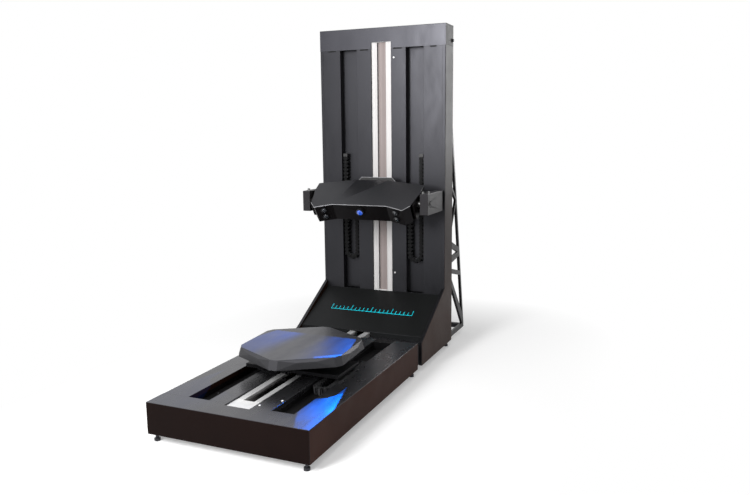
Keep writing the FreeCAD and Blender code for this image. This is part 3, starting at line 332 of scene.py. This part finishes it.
# Faces square to an axis with a colour of their own (two hold painted light or shade): axis, colour,
# specular level, roughness
DECK_TONE, DECK_SHEEN, DECK_ROUGH = (0.0085, 0.0085, 0.0092), 0.84, 0.28
DECK = ("Z", DECK_TONE, DECK_SHEEN, DECK_ROUGH)
CAP_ENDS = ("X", (0.010, 0.0095, 0.0095), 0.06, 0.5)
# Painted shade: the trays' end faces are near black, for the shade at the top and bottom of the column's
# slots
TRAY_ENDS_PAINTED_SHADE = ("Z", (0.001, 0.001, 0.001), 0.02, 0.6)
# Painted light on the column sides' side faces: lighter and warmer than the same black paint on their
# fronts
COLUMN_SIDES_PAINTED_LIGHT = ("X", (0.030, 0.0140, 0.0090), 0.05, 0.42)
PLATFORM_TOP = ("Z", (0.026, 0.026, 0.029), 0.5, 0.36)


def finishes():
    """Every material of the model, by a short name."""
    return {
        # The front cover's warm brown tint is a painted reflection of the floor on black paint
        "housing": powder("housing_paint", (0.0068, 0.0032, 0.0024), 0.45, specular=0.05, square=DECK),
        # The side covers are the front cover's black paint; their side walls carry painted light,
        # lighter and warmer than the front
        "base_side": powder("base_side_paint", (0.036, 0.0155, 0.0110), 0.5, specular=0.04, square=DECK),
        "deck": powder("deck_paint", DECK_TONE, DECK_ROUGH, specular=DECK_SHEEN, grain=0.03),
        "cap": powder("cap_paint", (0.0120, 0.0120, 0.0150), 0.36, specular=0.46, square=CAP_ENDS),
        "panel": powder("panel_paint", FRONT_TONE, 0.36, specular=0.39),
        "fascia": powder("fascia_paint", (0.0085, 0.0090, 0.0090), 0.44, specular=0.12),
        # The slot trays carry painted shade on their end faces
        "tray": powder("tray_paint", FRONT_TONE, 0.36, specular=0.39, square=TRAY_ENDS_PAINTED_SHADE),
        "well": powder("well_paint", (0.0040, 0.0038, 0.0038), 0.48, specular=0.15),
        # Column side plates: one black paint, with painted light on their side faces, lighter and greyer
        # again towards the top
        "side": powder("side_paint", FRONT_TONE, 0.36, specular=0.39,
                       square=COLUMN_SIDES_PAINTED_LIGHT, high=(0.020, 0.0185, 0.0185)),
        "frame": powder("frame_paint", (0.020, 0.020, 0.021), 0.5),
        "truss": powder("truss_paint", (0.012, 0.011, 0.011), 0.36, specular=0.15),
        "arm": powder("arm_paint", (0.023, 0.0215, 0.0225), 0.45, specular=0.14),
        "rail_base": brushed("rail_base", (0.80, 0.80, 0.80), 0.30, "Y", metallic=0.5),
        "rail_column": brushed("rail_column", (0.66, 0.64, 0.635), 0.52, "Z", metallic=0.05, lines=0.12),
        "band": brushed("band_steel", (0.35, 0.29, 0.28), 0.58, "Z", metallic=0.05, streak=0.1,
                        lines=0.35, lying=((0.16, 0.15, 0.15), 0.16)),
        "rail_end": turned("rail_end_face", (0.80, 0.80, 0.80), 0.34, metallic=0.3),
        "machined": turned("machined_dark", (0.018, 0.0175, 0.018), 0.38, metallic=0.2),
        "stage": powder("stage_paint", (0.0050, 0.0050, 0.0052), 0.46, specular=0.14, scale=2200),
        "black": powder("fitting_black", (0.010, 0.010, 0.011), 0.45, scale=2200),
        "steel": turned("ground_steel", (0.62, 0.62, 0.63), 0.22),
        "pin": turned("pin_steel", (0.10, 0.10, 0.10), 0.35),
        "zinc": turned("zinc_plate", (0.26, 0.26, 0.26), 0.34),
        "bronze": turned("nut_bronze", (0.62, 0.42, 0.20), 0.35),
        "rubber": moulded("belt_rubber", (0.012, 0.012, 0.012), 0.7, 0.3),
        "chain": moulded("chain_plastic", (0.0040, 0.0040, 0.0044), 0.40, specular=0.10),
        # Same plastic as the lift chains: its higher specular is real gloss, its lighter colour a
        # painted sheen on the plate tops
        "chain_painted_sheen": moulded("base_chain_plastic_painted_sheen", (0.018, 0.018, 0.019), 0.30, specular=0.8),
        "chain_light": moulded("chain_crossbar", (0.030, 0.030, 0.032), 0.40, specular=0.3),
        "platform": powder("platform_shell", (0.030, 0.030, 0.032), 0.45, specular=0.2,
                           scale=2600, grain=0.06, square=PLATFORM_TOP),
        "head_top": powder("head_cover_paint", (0.0075, 0.0077, 0.0085), 0.36,
                           specular=0.42, scale=2400),
        # Painted highlight for the folded edges of the head's cover and the lift bracket
        "edge_highlight": powder("painted_edge_highlight", (0.30, 0.30, 0.31), 0.32,
                            specular=0.6, scale=2400),
        "head_dark": powder("head_body_paint", (0.0035, 0.0028, 0.0028), 0.42,
                            specular=0.10, scale=2400),
        "lens": moulded("lens_barrel", (0.006, 0.006, 0.007), 0.30, 0.06),
        "ring": turned("lens_ring", (0.07, 0.07, 0.075), 0.25),
        "glass": coated_glass("camera_glass", (0.012, 0.016, 0.022)),
        "beam": coated_glass("projector_glass", (0.005, 0.04, 0.30), glow=0.38),
        "hollow": moulded("seam_shadow", (0.001, 0.001, 0.001), 0.9),
        "cyan": powder("scale_ink", (0.0, 0.66, 0.80), 0.45),
    }


NODE_FINISH = {
    "housing": "base_front_cover",
    "base_side": "base_side_cover_left base_side_cover_right",
    "cap": "column_cap",
    "fascia": "column_fascia",
    "deck": "base_centre_covers bridge_deck",
    "panel": "column_centre_covers column_front_covers column_back_panel",
    "tray": "column_slot_trays",
    "well": "base_slot_trays base_floor_pan",
    "side": "column_side_left column_side_right",
    "frame": "frame_tubes cross_members",
    "truss": "truss_left truss_right",
    "rail_base": "base_axis_profile",
    "rail_column": "column_axis_profile",
    "band": "axis_bands",
    "rail_end": "axis_end_blocks",
    "steel": "base_screw lift_screw",
    "pin": "tilt_pins",
    "arm": "yoke_arm_left yoke_arm_right",
    "machined": "lift_saddle yoke_beam lift_bracket platform_hub motor_pulley chain_anchors",
    "stage": "base_saddle stage_housing platform_plate",
    "black": "axis_motors turntable_motor levelling_feet",
    "chain": """base_chain_fixed base_chain_moving base_chain_bend lift_chain_fixed lift_chain_moving
        lift_chain_bends""",
    "platform": "platform_cover",
    "head_top": "head_cover",
    "head_dark": "head_bezel head_base head_side_plates projector_body camera_bodies",
    "lens": "projector_lens camera_lenses",
    "glass": "lens_glasses",
    "bronze": "base_nut lift_nut",
    "rubber": "drive_belt",
}
SOFT_EDGES = """base_front_cover base_side_cover_left base_side_cover_right base_centre_covers
    base_slot_trays bridge_deck column_side_left column_side_right column_cap column_centre_covers
    column_front_covers column_slot_trays column_fascia column_back_panel truss_left truss_right
    base_axis_profile column_axis_profile axis_end_blocks platform_cover platform_plate base_saddle
    lift_saddle yoke_beam lift_bracket yoke_arm_left yoke_arm_right head_cover head_bezel head_base
    head_side_plates chain_anchors axis_motors""".split()
# Width of the softened edge in mm, where it isn't the usual one
USUAL_EDGE = 0.6
EDGE = {
    "platform_cover": 1.6, "yoke_arm_left": 2.0, "yoke_arm_right": 2.0, "head_cover": 0.9,
    "head_bezel": 0.8, "lift_bracket": 1.0, "axis_motors": 1.5, "base_slot_trays": 0.4,
    "column_slot_trays": 0.4,
}


def dress_nodes(look):
    """Give every CAD node its finish, and soften the edges of the ones that show."""
    for key, names in NODE_FINISH.items():
        for name in names.split():
            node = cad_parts[name]
            node.data.materials.clear()
            node.data.materials.append(look[key])
    for name in SOFT_EDGES:
        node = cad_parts[name]
        weld = node.modifiers.new("weld", "WELD")
        weld.merge_threshold = 1e-6
        bevel = node.modifiers.new("bevel", "BEVEL")
        bevel.width = EDGE.get(name, USUAL_EDGE) * MM
        bevel.segments = 2
        bevel.limit_method = "ANGLE"
        bevel.angle_limit = math.radians(28)
        bevel.harden_normals = False


# Small pieces


def finished(name, mesh, body, material, smooth=True):
    """Turn a bmesh into a piece that rides on a body, or that is left unattached if body is None."""
    data = bpy.data.meshes.new(name)
    bmesh.ops.recalc_face_normals(mesh, faces=mesh.faces)
    mesh.to_mesh(data)
    mesh.free()
    piece = bpy.data.objects.new(name, data)
    scene.collection.objects.link(piece)
    for item in material if isinstance(material, (list, tuple)) else [material]:
        data.materials.append(item)
    if smooth:
        data.shade_smooth()
        data.set_sharp_from_angle(angle=math.radians(35))
    if body:
        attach(piece, body)
    return piece


AXES = {
    "X": Matrix(((0, 0, 1), (1, 0, 0), (0, 1, 0))),
    "-X": Matrix(((0, 0, -1), (-1, 0, 0), (0, 1, 0))),
    "Y": Matrix(((1, 0, 0), (0, 0, 1), (0, -1, 0))),
    "-Y": Matrix(((1, 0, 0), (0, 0, -1), (0, 1, 0))),
    "Z": Matrix.Identity(3),
}


def stand(place, axis):
    """A frame at a place whose local Z points along an axis or along a vector."""
    if isinstance(axis, str):
        turn = AXES[axis].to_4x4()
    else:
        turn = Vector(axis).to_track_quat("Z", "Y").to_matrix().to_4x4()
    return Matrix.Translation(Vector(place)) @ turn


def in_mm(points):
    return [(first * MM, second * MM) for first, second in points]


def rectangle(left, right, low, high):
    return [(left, low), (right, low), (right, high), (left, high)]


def circle(mesh, where, radius, level, count):
    """Vertices round local Z."""
    angles = (2 * math.pi * step / count for step in range(count))
    return [
        mesh.verts.new(where @ Vector((radius * math.cos(a), radius * math.sin(a), level)))
        for a in angles
    ]


def walls(mesh, rings, index=0):
    """Faces between neighbouring rings of vertices."""
    for low, high in zip(rings, rings[1:]):
        for step in range(len(low)):
            after = (step + 1) % len(low)
            face = mesh.faces.new((low[step], low[after], high[after], high[step]))
            face.material_index = index


def closed(mesh, rings, index=0):
    """Walls between the rings, and a lid on the first and the last one."""
    walls(mesh, rings, index)
    for ring in (rings[0], rings[-1]):
        mesh.faces.new(ring).material_index = index


def spin(mesh, profile, where, count=24):
    """Add a turned form: (radius, height) points about local Z."""
    closed(mesh, [circle(mesh, where, radius, height, count) for radius, height in profile])


def cap_screw(mesh, place, axis, radius, height):
    """Button head with a small washer rim and a hexagon socket."""
    where = stand(place, axis)
    sides = 18
    profile = (
        (radius * 1.05, 0), (radius, height * 0.45),
        (radius * 0.84, height * 0.85), (radius * 0.62, height),
    )
    rings = [circle(mesh, where, size, level, sides) for size, level in profile]
    half_flat = radius * 0.5 * math.cos(math.pi / 6)
    for depth in (height, height * 0.3):
        ring = []
        for step in range(sides):
            angle = 2 * math.pi * step / sides
            flat = half_flat / math.cos((angle % (math.pi / 3)) - math.pi / 6)
            point = where @ Vector((flat * math.cos(angle), flat * math.sin(angle), depth))
            ring.append(mesh.verts.new(point))
        rings.append(ring)
    closed(mesh, rings)


def screws(name, spots, axis, body, material, radius=3.5, height=2.2):
    """Several button heads as one piece; radius and height in mm."""
    mesh = bmesh.new()
    for spot in spots:
        cap_screw(mesh, spot, axis, radius * MM, height * MM)
    finished(name, mesh, body, material)


def slab(mesh, points, low, high, plane, index=0):
    """A prism over a closed outline; plane maps (u, v, w) to a point."""
    rings = [[mesh.verts.new(plane(u, v, level)) for u, v in points] for level in (low, high)]
    closed(mesh, rings, index)


# Drag chains


LINK = 15 * MM
PLATE = 2.4 * MM
BEND_LINKS = 5


def chain_links(mesh, frames, half, width, pitch):
    """One link per frame: two oval side plates with a pin, two crossbars and a core."""
    oval = [
        (pitch * 0.52 * math.cos(a), half * 0.96 * math.sin(a))
        for a in (2 * math.pi * step / 12 for step in range(12))
    ]
    pin = half * 0.3
    bar_reach = width / 2 - PLATE / 2
    core_reach = width / 2 - 3 * MM
    core = rectangle(-pitch * 0.5, pitch * 0.5, -half * 0.5, half * 0.5)
    for where in frames:
        def plane(u, v, w):
            return where @ Vector((u, v, w))

        for side in (-1, 1):
            outer = side * width / 2
            inner = outer - side * PLATE
            slab(mesh, oval, min(outer, inner), max(outer, inner), plane)
            spot = where @ Matrix.Translation((0, 0, outer))
            if side < 0:
                spot = spot @ Matrix.Rotation(math.pi, 4, "X")
            spin(mesh, [(pin, -0.2 * MM), (pin, 0.5 * MM), (pin * 0.7, 0.8 * MM)], spot, 10)
            low, high = sorted((side * half, side * (half - PLATE)))
            bar = rectangle(-pitch * 0.24, pitch * 0.24, low, high)
            slab(mesh, bar, -bar_reach, bar_reach, plane, index=1)
        slab(mesh, core, -core_reach, core_reach, plane)


def leg_frames(start, along, across, count, pitch):
    """Frames of the links of a straight leg."""
    turn = Matrix((along, across, along.cross(across))).transposed().to_4x4()
    places = (start + along * pitch * (step + 0.5) for step in range(count))
    return [Matrix.Translation(place) @ turn for place in places]


def bend_frames(centre, radius, away, side, count):
    """Frames of the links round a half turn; away points out of the bend, side to its first leg."""
    away, side = Vector(away), Vector(side)
    frames = []
    for step in range(count):
        angle = math.pi * (step + 0.5) / count
        out = side * math.cos(angle) + away * math.sin(angle)
        along = side * -math.sin(angle) + away * math.cos(angle)
        normal = along.cross(out)
        turn = Matrix((along, out, normal)).transposed().to_4x4()
        frames.append(Matrix.Translation(Vector(centre) + out * radius) @ turn)
    return frames


def chain_leg(name, low, high, axis, width_axis, material, body_pair, blend_points):
    """Links along one axis inside a box, as one piece fixed in place."""
    low, high = Vector(low), Vector(high)
    along = Vector([1.0 if index == axis else 0.0 for index in range(3)])
    wide = Vector([1.0 if index == width_axis else 0.0 for index in range(3)])
    across = wide.cross(along)
    length = high[axis] - low[axis]
    count = max(1, round(length / LINK))
    pitch = length / count
    start = (low + high) / 2 - along * length / 2
    third = 3 - axis - width_axis
    half = (high[third] - low[third]) / 2
    width = high[width_axis] - low[width_axis]
    mesh = bmesh.new()
    chain_links(mesh, leg_frames(start, along, across, count, pitch), half, width, pitch)
    piece = finished(name, mesh, None, material)
    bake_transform(piece)
    return piece


def halves(node):
    """A node's vertices left and right of the middle, as two boxes."""
    points = [vertex.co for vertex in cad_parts[node].data.vertices]
    boxes = []
    for side in (-1, 1):
        chosen = [point for point in points if point.x * side > 0]
        boxes.append((
            Vector([min(point[axis] for point in chosen) for axis in range(3)]),
            Vector([max(point[axis] for point in chosen) for axis in range(3)]),
        ))
    return boxes


def chains(look):
    """Detailed links over every chain leg and bend."""
    # The base chain's plastic carries a painted sheen
    materials = [look["chain_painted_sheen"], look["chain_light"]]
    fixed, moving, bend = (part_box("base_chain_" + word) for word in ("fixed", "moving", "bend"))
    start = fixed[0].y
    for name, (low, high), pair, points in (
        ("base_links_fixed", fixed, ("frame", "base_carriage"), lambda a, b: (b, 2 * start - b)),
        ("base_links_moving", moving, ("frame", "base_carriage"), lambda a, b: (2 * start - b, b)),
    ):
        first, last = points(low.y, high.y)
        piece = chain_leg(
            name, low, high, 1, 2, materials, pair, (Vector((0, first, 0)), Vector((0, last, 0)))
        )
        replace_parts(piece, name.replace("links", "chain"))
    outer = (fixed[0].x + fixed[1].x) / 2
    inner = (moving[0].x + moving[1].x) / 2
    half = (fixed[1].x - fixed[0].x) / 2
    width = fixed[1].z - fixed[0].z
    level = (fixed[0].z + fixed[1].z) / 2
    radius = (outer - inner) / 2
    centre = ((outer + inner) / 2, bend[1].y, level)
    mesh = bmesh.new()
    frames = bend_frames(centre, radius, (0, -1, 0), (1, 0, 0), BEND_LINKS)
    chain_links(mesh, frames, half, width, math.pi * radius / BEND_LINKS)
    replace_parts(finished("base_links_bend", mesh, "base_chain_bend", materials), "base_chain_bend")

    materials = [look["chain"], look["chain_light"]]
    fixed, moving, bends = (halves("lift_chain_" + word) for word in ("fixed", "moving", "bends"))
    for side, word in enumerate(("left", "right")):
        top = fixed[side][1].z
        turn = fixed[side][0].z
        clamp = moving[side][1].z
        piece = chain_leg(
            "lift_links_fixed_" + word, *fixed[side], 2, 1, materials, ("frame", "lift_carriage"),
            (Vector((0, 0, top)), Vector((0, 0, 2 * turn - top))),
        )
        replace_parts(piece, "lift_chain_fixed")
        piece = chain_leg(
            "lift_links_moving_" + word, *moving[side], 2, 1, materials, ("frame", "lift_carriage"),
            (Vector((0, 0, 2 * turn - clamp)), Vector((0, 0, clamp))),
        )
        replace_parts(piece, "lift_chain_moving")
        outer = (fixed[side][0].x + fixed[side][1].x) / 2
        inner = (moving[side][0].x + moving[side][1].x) / 2
        centre = ((outer + inner) / 2, (fixed[side][0].y + fixed[side][1].y) / 2, bends[side][1].z)
        mesh = bmesh.new()
        reach = abs(outer - inner) / 2
        first = (1 if outer > inner else -1, 0, 0)
        frames = bend_frames(centre, reach, (0, 0, -1), first, BEND_LINKS)
        chain_links(mesh, frames, half, width, math.pi * reach / BEND_LINKS)
        piece = finished("lift_links_bend_" + word, mesh, "lift_chain_bends", materials)
        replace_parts(piece, "lift_chain_bends")


# Fittings


def fittings(look):
    """Button screws and bolts on the housings, and the dark seam slots under the cap."""
    spots = [(53 * MM, FRONT + 98 * MM, DECK_TOP), (94 * MM, FRONT + 151 * MM, DECK_TOP)]
    screws("deck_screws", spots, "Z", "frame", look["rail_end"])
    tray = DECK_TOP - 30 * MM
    screws("tray_screws", [(159 * MM, FRONT + 200 * MM, tray)], "Z", "frame", look["steel"], 3.0, 1.8)
    spots = [(-159 * MM, FRONT + 200 * MM, tray)]
    spots += [(side * 115 * MM, FRONT + 640 * MM, tray) for side, _ in SIDES]
    screws("tray_screws_dark", spots, "Z", "frame", look["black"], 3.0, 1.8)
    spots = [(53 * MM, FACE, level) for level in (1.136, 0.303)]
    screws("column_screws", spots, "-Y", "frame", look["rail_end"])
    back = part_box("column_back_panel")[1].y
    spots = [(side * 225 * MM, back, 0.10 + 0.25 * step) for side, _ in SIDES for step in range(5)]
    screws("back_screws", spots, "Y", "frame", look["zinc"], 4.0, 2.4)
    bolt = in_mm([(8, 0), (8, 2), (5, 2.4), (5, 5), (3.6, 6)])
    for side, word in SIDES:
        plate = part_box("column_side_" + word)
        face = plate[1].x if side > 0 else plate[0].x
        mesh = bmesh.new()
        spin(mesh, bolt, stand((face, plate[1].y - 10 * MM, 1.195), "X" if side > 0 else "-X"))
        finished("side_bolt_" + word, mesh, "frame", look["black"])
    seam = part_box("column_cap")[0].z
    mesh = bmesh.new()
    for low, high in ((-226, -192), (-88, -54), (51, 86), (200, 224)):
        outline = rectangle(low * MM, high * MM, seam - 5 * MM, seam)
        slab(mesh, outline, -0.3 * MM, 0.5 * MM, lambda u, v, w: Vector((u, FACE + w, v)))
    finished("seam_slots", mesh, "frame", look["hollow"], smooth=False)


def tick_scale(look):
    """A plain ruler of ticks on the sloping fascia."""
    low = Vector((0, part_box("column_fascia")[0].y, 0.119))
    high = Vector((0, FACE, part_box("column_fascia")[1].z))
    slope = (high - low).normalized()
    across = Vector((1, 0, 0))
    normal = across.cross(slope)
    centre = (low + high) / 2 + normal * 0.05 * MM
    mesh = bmesh.new()

    def plane(u, v, w):
        return centre + across * u + slope * v + normal * w

    def bar(*sides):
        slab(mesh, rectangle(*(value * MM for value in sides)), 0, 0.25 * MM, plane)

    reach, foot, line, short, tall = 170, -14, -11.5, 17, 27
    bar(-reach, reach, foot, line)
    for step in range(-10, 11):
        at = step * reach / 10
        bar(at - 1.1, at + 1.1, line, line + (tall if step % 5 == 0 else short))
    finished("tick_scale", mesh, "frame", look["cyan"], smooth=False)


def bead(mesh, points, radius):
    """A thin round moulding along an open line of points."""
    rings = []
    for number, point in enumerate(points):
        before = points[max(number - 1, 0)]
        after = points[min(number + 1, len(points) - 1)]
        rings.append(circle(mesh, stand(point, after - before), radius, 0, 8))
    closed(mesh, rings)


def painted_edge_highlights(look):
    """Painted highlight: a light grey bead along the front edge of the head's cover and over the lift
    bracket's top edge, for the light those folded edges catch.
    """
    radius = 1.1 * MM
    mesh = bmesh.new()
    half = [
        (MIDDLE_HALF, MIDDLE_FRONT), (MIDDLE_HALF + WING_RUN, MIDDLE_FRONT - WING_STEP), WING_END,
    ]
    line = [(-x, y) for x, y in reversed(half)] + half
    level = 31.7
    bead(mesh, [HEAD @ Vector((x * MM, (y + 0.7) * MM, level * MM)) for x, y in line], radius)
    finished("cover_edge_highlight", mesh, "head", look["edge_highlight"])
    low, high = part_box("lift_bracket")
    mesh = bmesh.new()
    shoulder = 21 * MM
    level = high.z - shoulder
    line = [(low.x, level), (low.x + shoulder, high.z), (high.x - shoulder, high.z), (high.x, level)]
    bead(mesh, [Vector((x, low.y + 0.6 * MM, z - 0.6 * MM)) for x, z in line], radius)
    finished("bracket_edge_highlight", mesh, "lift_carriage", look["edge_highlight"])


def camera_spots(ahead):
    """Place and direction of each camera lens in the head's frame, some mm ahead of its wing."""
    for side, _ in SIDES:
        out = Vector((-side * math.sin(SWEEP), -math.cos(SWEEP), 0))
        face = Vector((side * CAMERA_X * MM, WING_FACE, 0)) + out * ahead * MM
        for level in CAMERA_LEVELS:
            yield face + Vector((0, 0, level * MM)), out


def domes(look):
    """Curved front elements, just before the flat glasses."""
    bulge = [(1.0, 0.0), (0.94, 0.35), (0.78, 0.68), (0.52, 0.9), (0.22, 0.99), (0.02, 1.0)]

    def dome(mesh, place, out, radius, height):
        profile = [(radius * across, height * up) for across, up in bulge]
        spin(mesh, profile, HEAD @ stand(place, out), 28)

    mesh = bmesh.new()
    dome(mesh, (0, -65.0 * MM, PROJECTOR_LEVEL * MM), (0, -1, 0), 11 * MM, 4 * MM)
    finished("projector_dome", mesh, "head", look["beam"])
    mesh = bmesh.new()
    for place, out in camera_spots(3):
        dome(mesh, place, out, 7.5 * MM, 2.6 * MM)
    finished("camera_domes", mesh, "head", look["glass"])


def lens_rings(look):
    """A narrow ring round the front of every lens barrel."""
    def ring(mesh, place, out, radius, thick, reach):
        profile = [
            (radius, -0.5 * MM), (radius + thick, -0.5 * MM), (radius + thick, reach * 0.6),
            (radius + thick * 0.7, reach), (radius + 0.2 * MM, reach),
        ]
        where = HEAD @ stand(place, out)
        rings = [circle(mesh, where, size, level, 32) for size, level in profile]
        walls(mesh, rings + rings[:1])

    mesh = bmesh.new()
    ring(mesh, (0, -64 * MM, PROJECTOR_LEVEL * MM), (0, -1, 0), 12 * MM, 3 * MM, 1.2 * MM)
    for place, out in camera_spots(5):
        ring(mesh, place, out, 9 * MM, 2 * MM, 0.8 * MM)
    finished("lens_rings", mesh, "head", look["ring"])


def yoke_fittings(look):
    """Two clamp knobs on top of each arm, and a flat cap over each tilt pin."""
    knob = in_mm([(5.5, 0), (5.5, 2), (4, 2.5), (4.4, 7), (3, 8)])
    cap = in_mm([(10, -0.2), (10, 0.8), (9.2, 1.4), (4, 1.4), (3.2, 0.6)])
    arm_low, arm_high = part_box("yoke_arm_right")
    for side, word in SIDES:
        mesh = bmesh.new()
        for x, y in ((232, 12), (246, 34)):
            spin(mesh, knob, stand((side * x * MM, arm_low.y + y * MM, arm_high.z), "Z"))
        finished("yoke_knobs_" + word, mesh, "lift_carriage", look["zinc"])
        mesh = bmesh.new()
        spin(mesh, cap, stand((side * 254 * MM, PIVOT.y, PIVOT.z), "X" if side > 0 else "-X"), 32)
        finished("pivot_cap_" + word, mesh, "lift_carriage", look["head_dark"])


# The projector's pattern, in tangents across and up from the lens. The bright field lies at the
# right: its inner edge moves with the height, and its lower edge with the distance across.
PATTERN_SIDE = 0.298
PATTERN_FOOT = -0.21
FIELD_INNER = (0.59, 0.1476)
FIELD_UNDER = (-0.349, 0.0708)
# The strength falls to nothing between these distances, in metres
FADE_OUT = (1.15, 1.3)


def projector_light():
    """The projector is on: its pattern leaves one bright field at the right and a weak rest."""
    data = bpy.data.lights.new("projector_beam", "SPOT")
    data.color = (0.0, 0.17, 1.0)
    data.energy = 110
    data.spot_size = math.radians(50)
    data.spot_blend = 0.02
    data.shadow_soft_size = 0.003
    data.use_nodes = True
    tree = data.node_tree
    emit = tree.nodes["Emission"]

    def times(first, second):
        return calculate(tree, "MULTIPLY", first, second)

    place = tree.nodes.new("ShaderNodeTexCoord")
    parts = tree.nodes.new("ShaderNodeSeparateXYZ")
    tree.links.new(place.outputs["Normal"], parts.inputs[0])
    across = calculate(tree, "DIVIDE", parts.outputs["X"], parts.outputs["Z"])
    upward = times(calculate(tree, "DIVIDE", parts.outputs["Y"], parts.outputs["Z"]), -1.0)
    sideways = calculate(tree, "ABSOLUTE", across)

    inner = calculate(tree, "MULTIPLY_ADD", upward, *FIELD_INNER)
    under = calculate(tree, "MULTIPLY_ADD", across, *FIELD_UNDER)
    field = calculate(tree, "LESS_THAN", across, PATTERN_SIDE)
    field = times(field, calculate(tree, "GREATER_THAN", across, inner))
    field = times(field, calculate(tree, "GREATER_THAN", upward, under))
    field = times(field, map_range(tree, upward, 0.65, 2.0, -0.02, 0.12))

    weak = map_range(tree, sideways, 0.02, 0.17, 0.05, 0.13)
    weak = times(weak, map_range(tree, across, 6.0, 1.0, -0.16, -0.04))
    weak = times(weak, calculate(tree, "LESS_THAN", sideways, PATTERN_SIDE))
    weak = times(weak, calculate(tree, "GREATER_THAN", upward, PATTERN_FOOT))

    path = tree.nodes.new("ShaderNodeLightPath")
    near = map_range(tree, path.outputs["Ray Length"], 1.0, 0.0, *FADE_OUT)
    strength = times(calculate(tree, "MAXIMUM", field, weak), near)
    tree.links.new(strength, emit.inputs["Strength"])
    lamp = bpy.data.objects.new("projector_beam", data)
    scene.collection.objects.link(lamp)
    spot = Matrix.Translation((0, -71 * MM, PROJECTOR_LEVEL * MM))
    about, forward = Matrix.Rotation(math.pi, 4, "Z"), Matrix.Rotation(math.pi / 2, 4, "X")
    lamp.matrix_world = HEAD @ spot @ about @ forward
    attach(lamp, "head")


# Stage and light


def seen_directly(tree):
    """1 for the rays that show the backdrop itself: straight, mirrored or through glass."""
    path = tree.nodes.new("ShaderNodeLightPath")
    total = path.outputs["Is Camera Ray"]
    for name in ("Is Glossy Ray", "Is Transmission Ray"):
        total = calculate(tree, "MAXIMUM", total, path.outputs[name])
    return total


# Half the object's footprint, how far beyond it the floor turns white, and how bright the
# paper and the surroundings are
FOOTPRINT = (0.27, 0.71, 0)
WHITE_FROM, WHITE_AT = 0.05, 0.6
PAPER_GLOW = 0.3
SURROUND = 0.35


def stage():
    """White paper floor that fades into a white backdrop."""
    mesh = bmesh.new()
    bmesh.ops.create_grid(mesh, x_segments=1, y_segments=1, size=14)
    data = bpy.data.meshes.new("floor")
    mesh.to_mesh(data)
    mesh.free()
    floor = bpy.data.objects.new("floor", data)
    scene.collection.objects.link(floor)
    made = Shader("floor_paper", (0.80, 0.80, 0.80), 0.9, specular=0.1)
    tree = made.tree
    place = made.node("TexCoord")
    folded = made.node("VectorMath", operation="ABSOLUTE")
    made.link(place.outputs["Object"], folded.inputs[0])
    beyond = made.node("VectorMath", operation="SUBTRACT")
    made.link(folded.outputs[0], beyond.inputs[0])
    beyond.inputs[1].default_value = FOOTPRINT
    outside = made.node("VectorMath", operation="MAXIMUM")
    made.link(beyond.outputs[0], outside.inputs[0])
    length = made.node("VectorMath", operation="LENGTH")
    made.link(outside.outputs[0], length.inputs[0])
    direct = seen_directly(tree)
    made.main.inputs["Emission Color"].default_value = (1, 1, 1, 1)
    glow = calculate(tree, "MULTIPLY", direct, PAPER_GLOW)
    made.link(glow, made.main.inputs["Emission Strength"])
    white = made.node("Emission")
    merge = made.node("MixShader")
    far = map_range(tree, length.outputs["Value"], 0.0, 1.0, WHITE_FROM, WHITE_AT)
    made.link(calculate(tree, "MULTIPLY", far, direct), merge.inputs[0])
    made.link(made.main.outputs[0], merge.inputs[1])
    made.link(white.outputs[0], merge.inputs[2])
    made.link(merge.outputs[0], tree.nodes["Material Output"].inputs["Surface"])
    data.materials.append(made.material)

    world = bpy.data.worlds.new("studio")
    world.use_nodes = True
    scene.world = world
    back = world.node_tree.nodes["Background"]
    back.inputs["Color"].default_value = (1, 1, 1, 1)
    strength = map_range(world.node_tree, seen_directly(world.node_tree), SURROUND, 1.0)
    world.node_tree.links.new(strength, back.inputs["Strength"])


def area(name, place, target, size, energy, spread=180):
    """A rectangular lamp turned to a target."""
    data = bpy.data.lights.new(name, "AREA")
    data.shape = "RECTANGLE"
    data.size, data.size_y = size
    data.energy = energy
    data.spread = math.radians(spread)
    lamp = bpy.data.objects.new(name, data)
    scene.collection.objects.link(lamp)
    place, target = Vector(place), Vector(target)
    turn = (place - target).to_track_quat("Z", "Y").to_matrix().to_4x4()
    lamp.matrix_world = Matrix.Translation(place) @ turn


def lights():
    area("front", (-0.45, -2.2, 1.6), (0.1, 0.4, 1.0), (0.6, 1.5), 74)
    area("above", (0.5, -0.9, 3.0), (0, -0.2, 0.3), (1.2, 1.2), 12)
    area("rim", (1.1, 3.1, 1.35), (0.26, 0.4, 0.95), (0.7, 1.7), 2.5, spread=45)


def main():
    scene.view_settings.view_transform = "Standard"
    make_camera()
    look = finishes()
    dress_nodes(look)
    chains(look)
    fittings(look)
    tick_scale(look)
    lens_rings(look)
    painted_edge_highlights(look)
    domes(look)
    yoke_fittings(look)
    projector_light()
    stage()
    lights()


main()
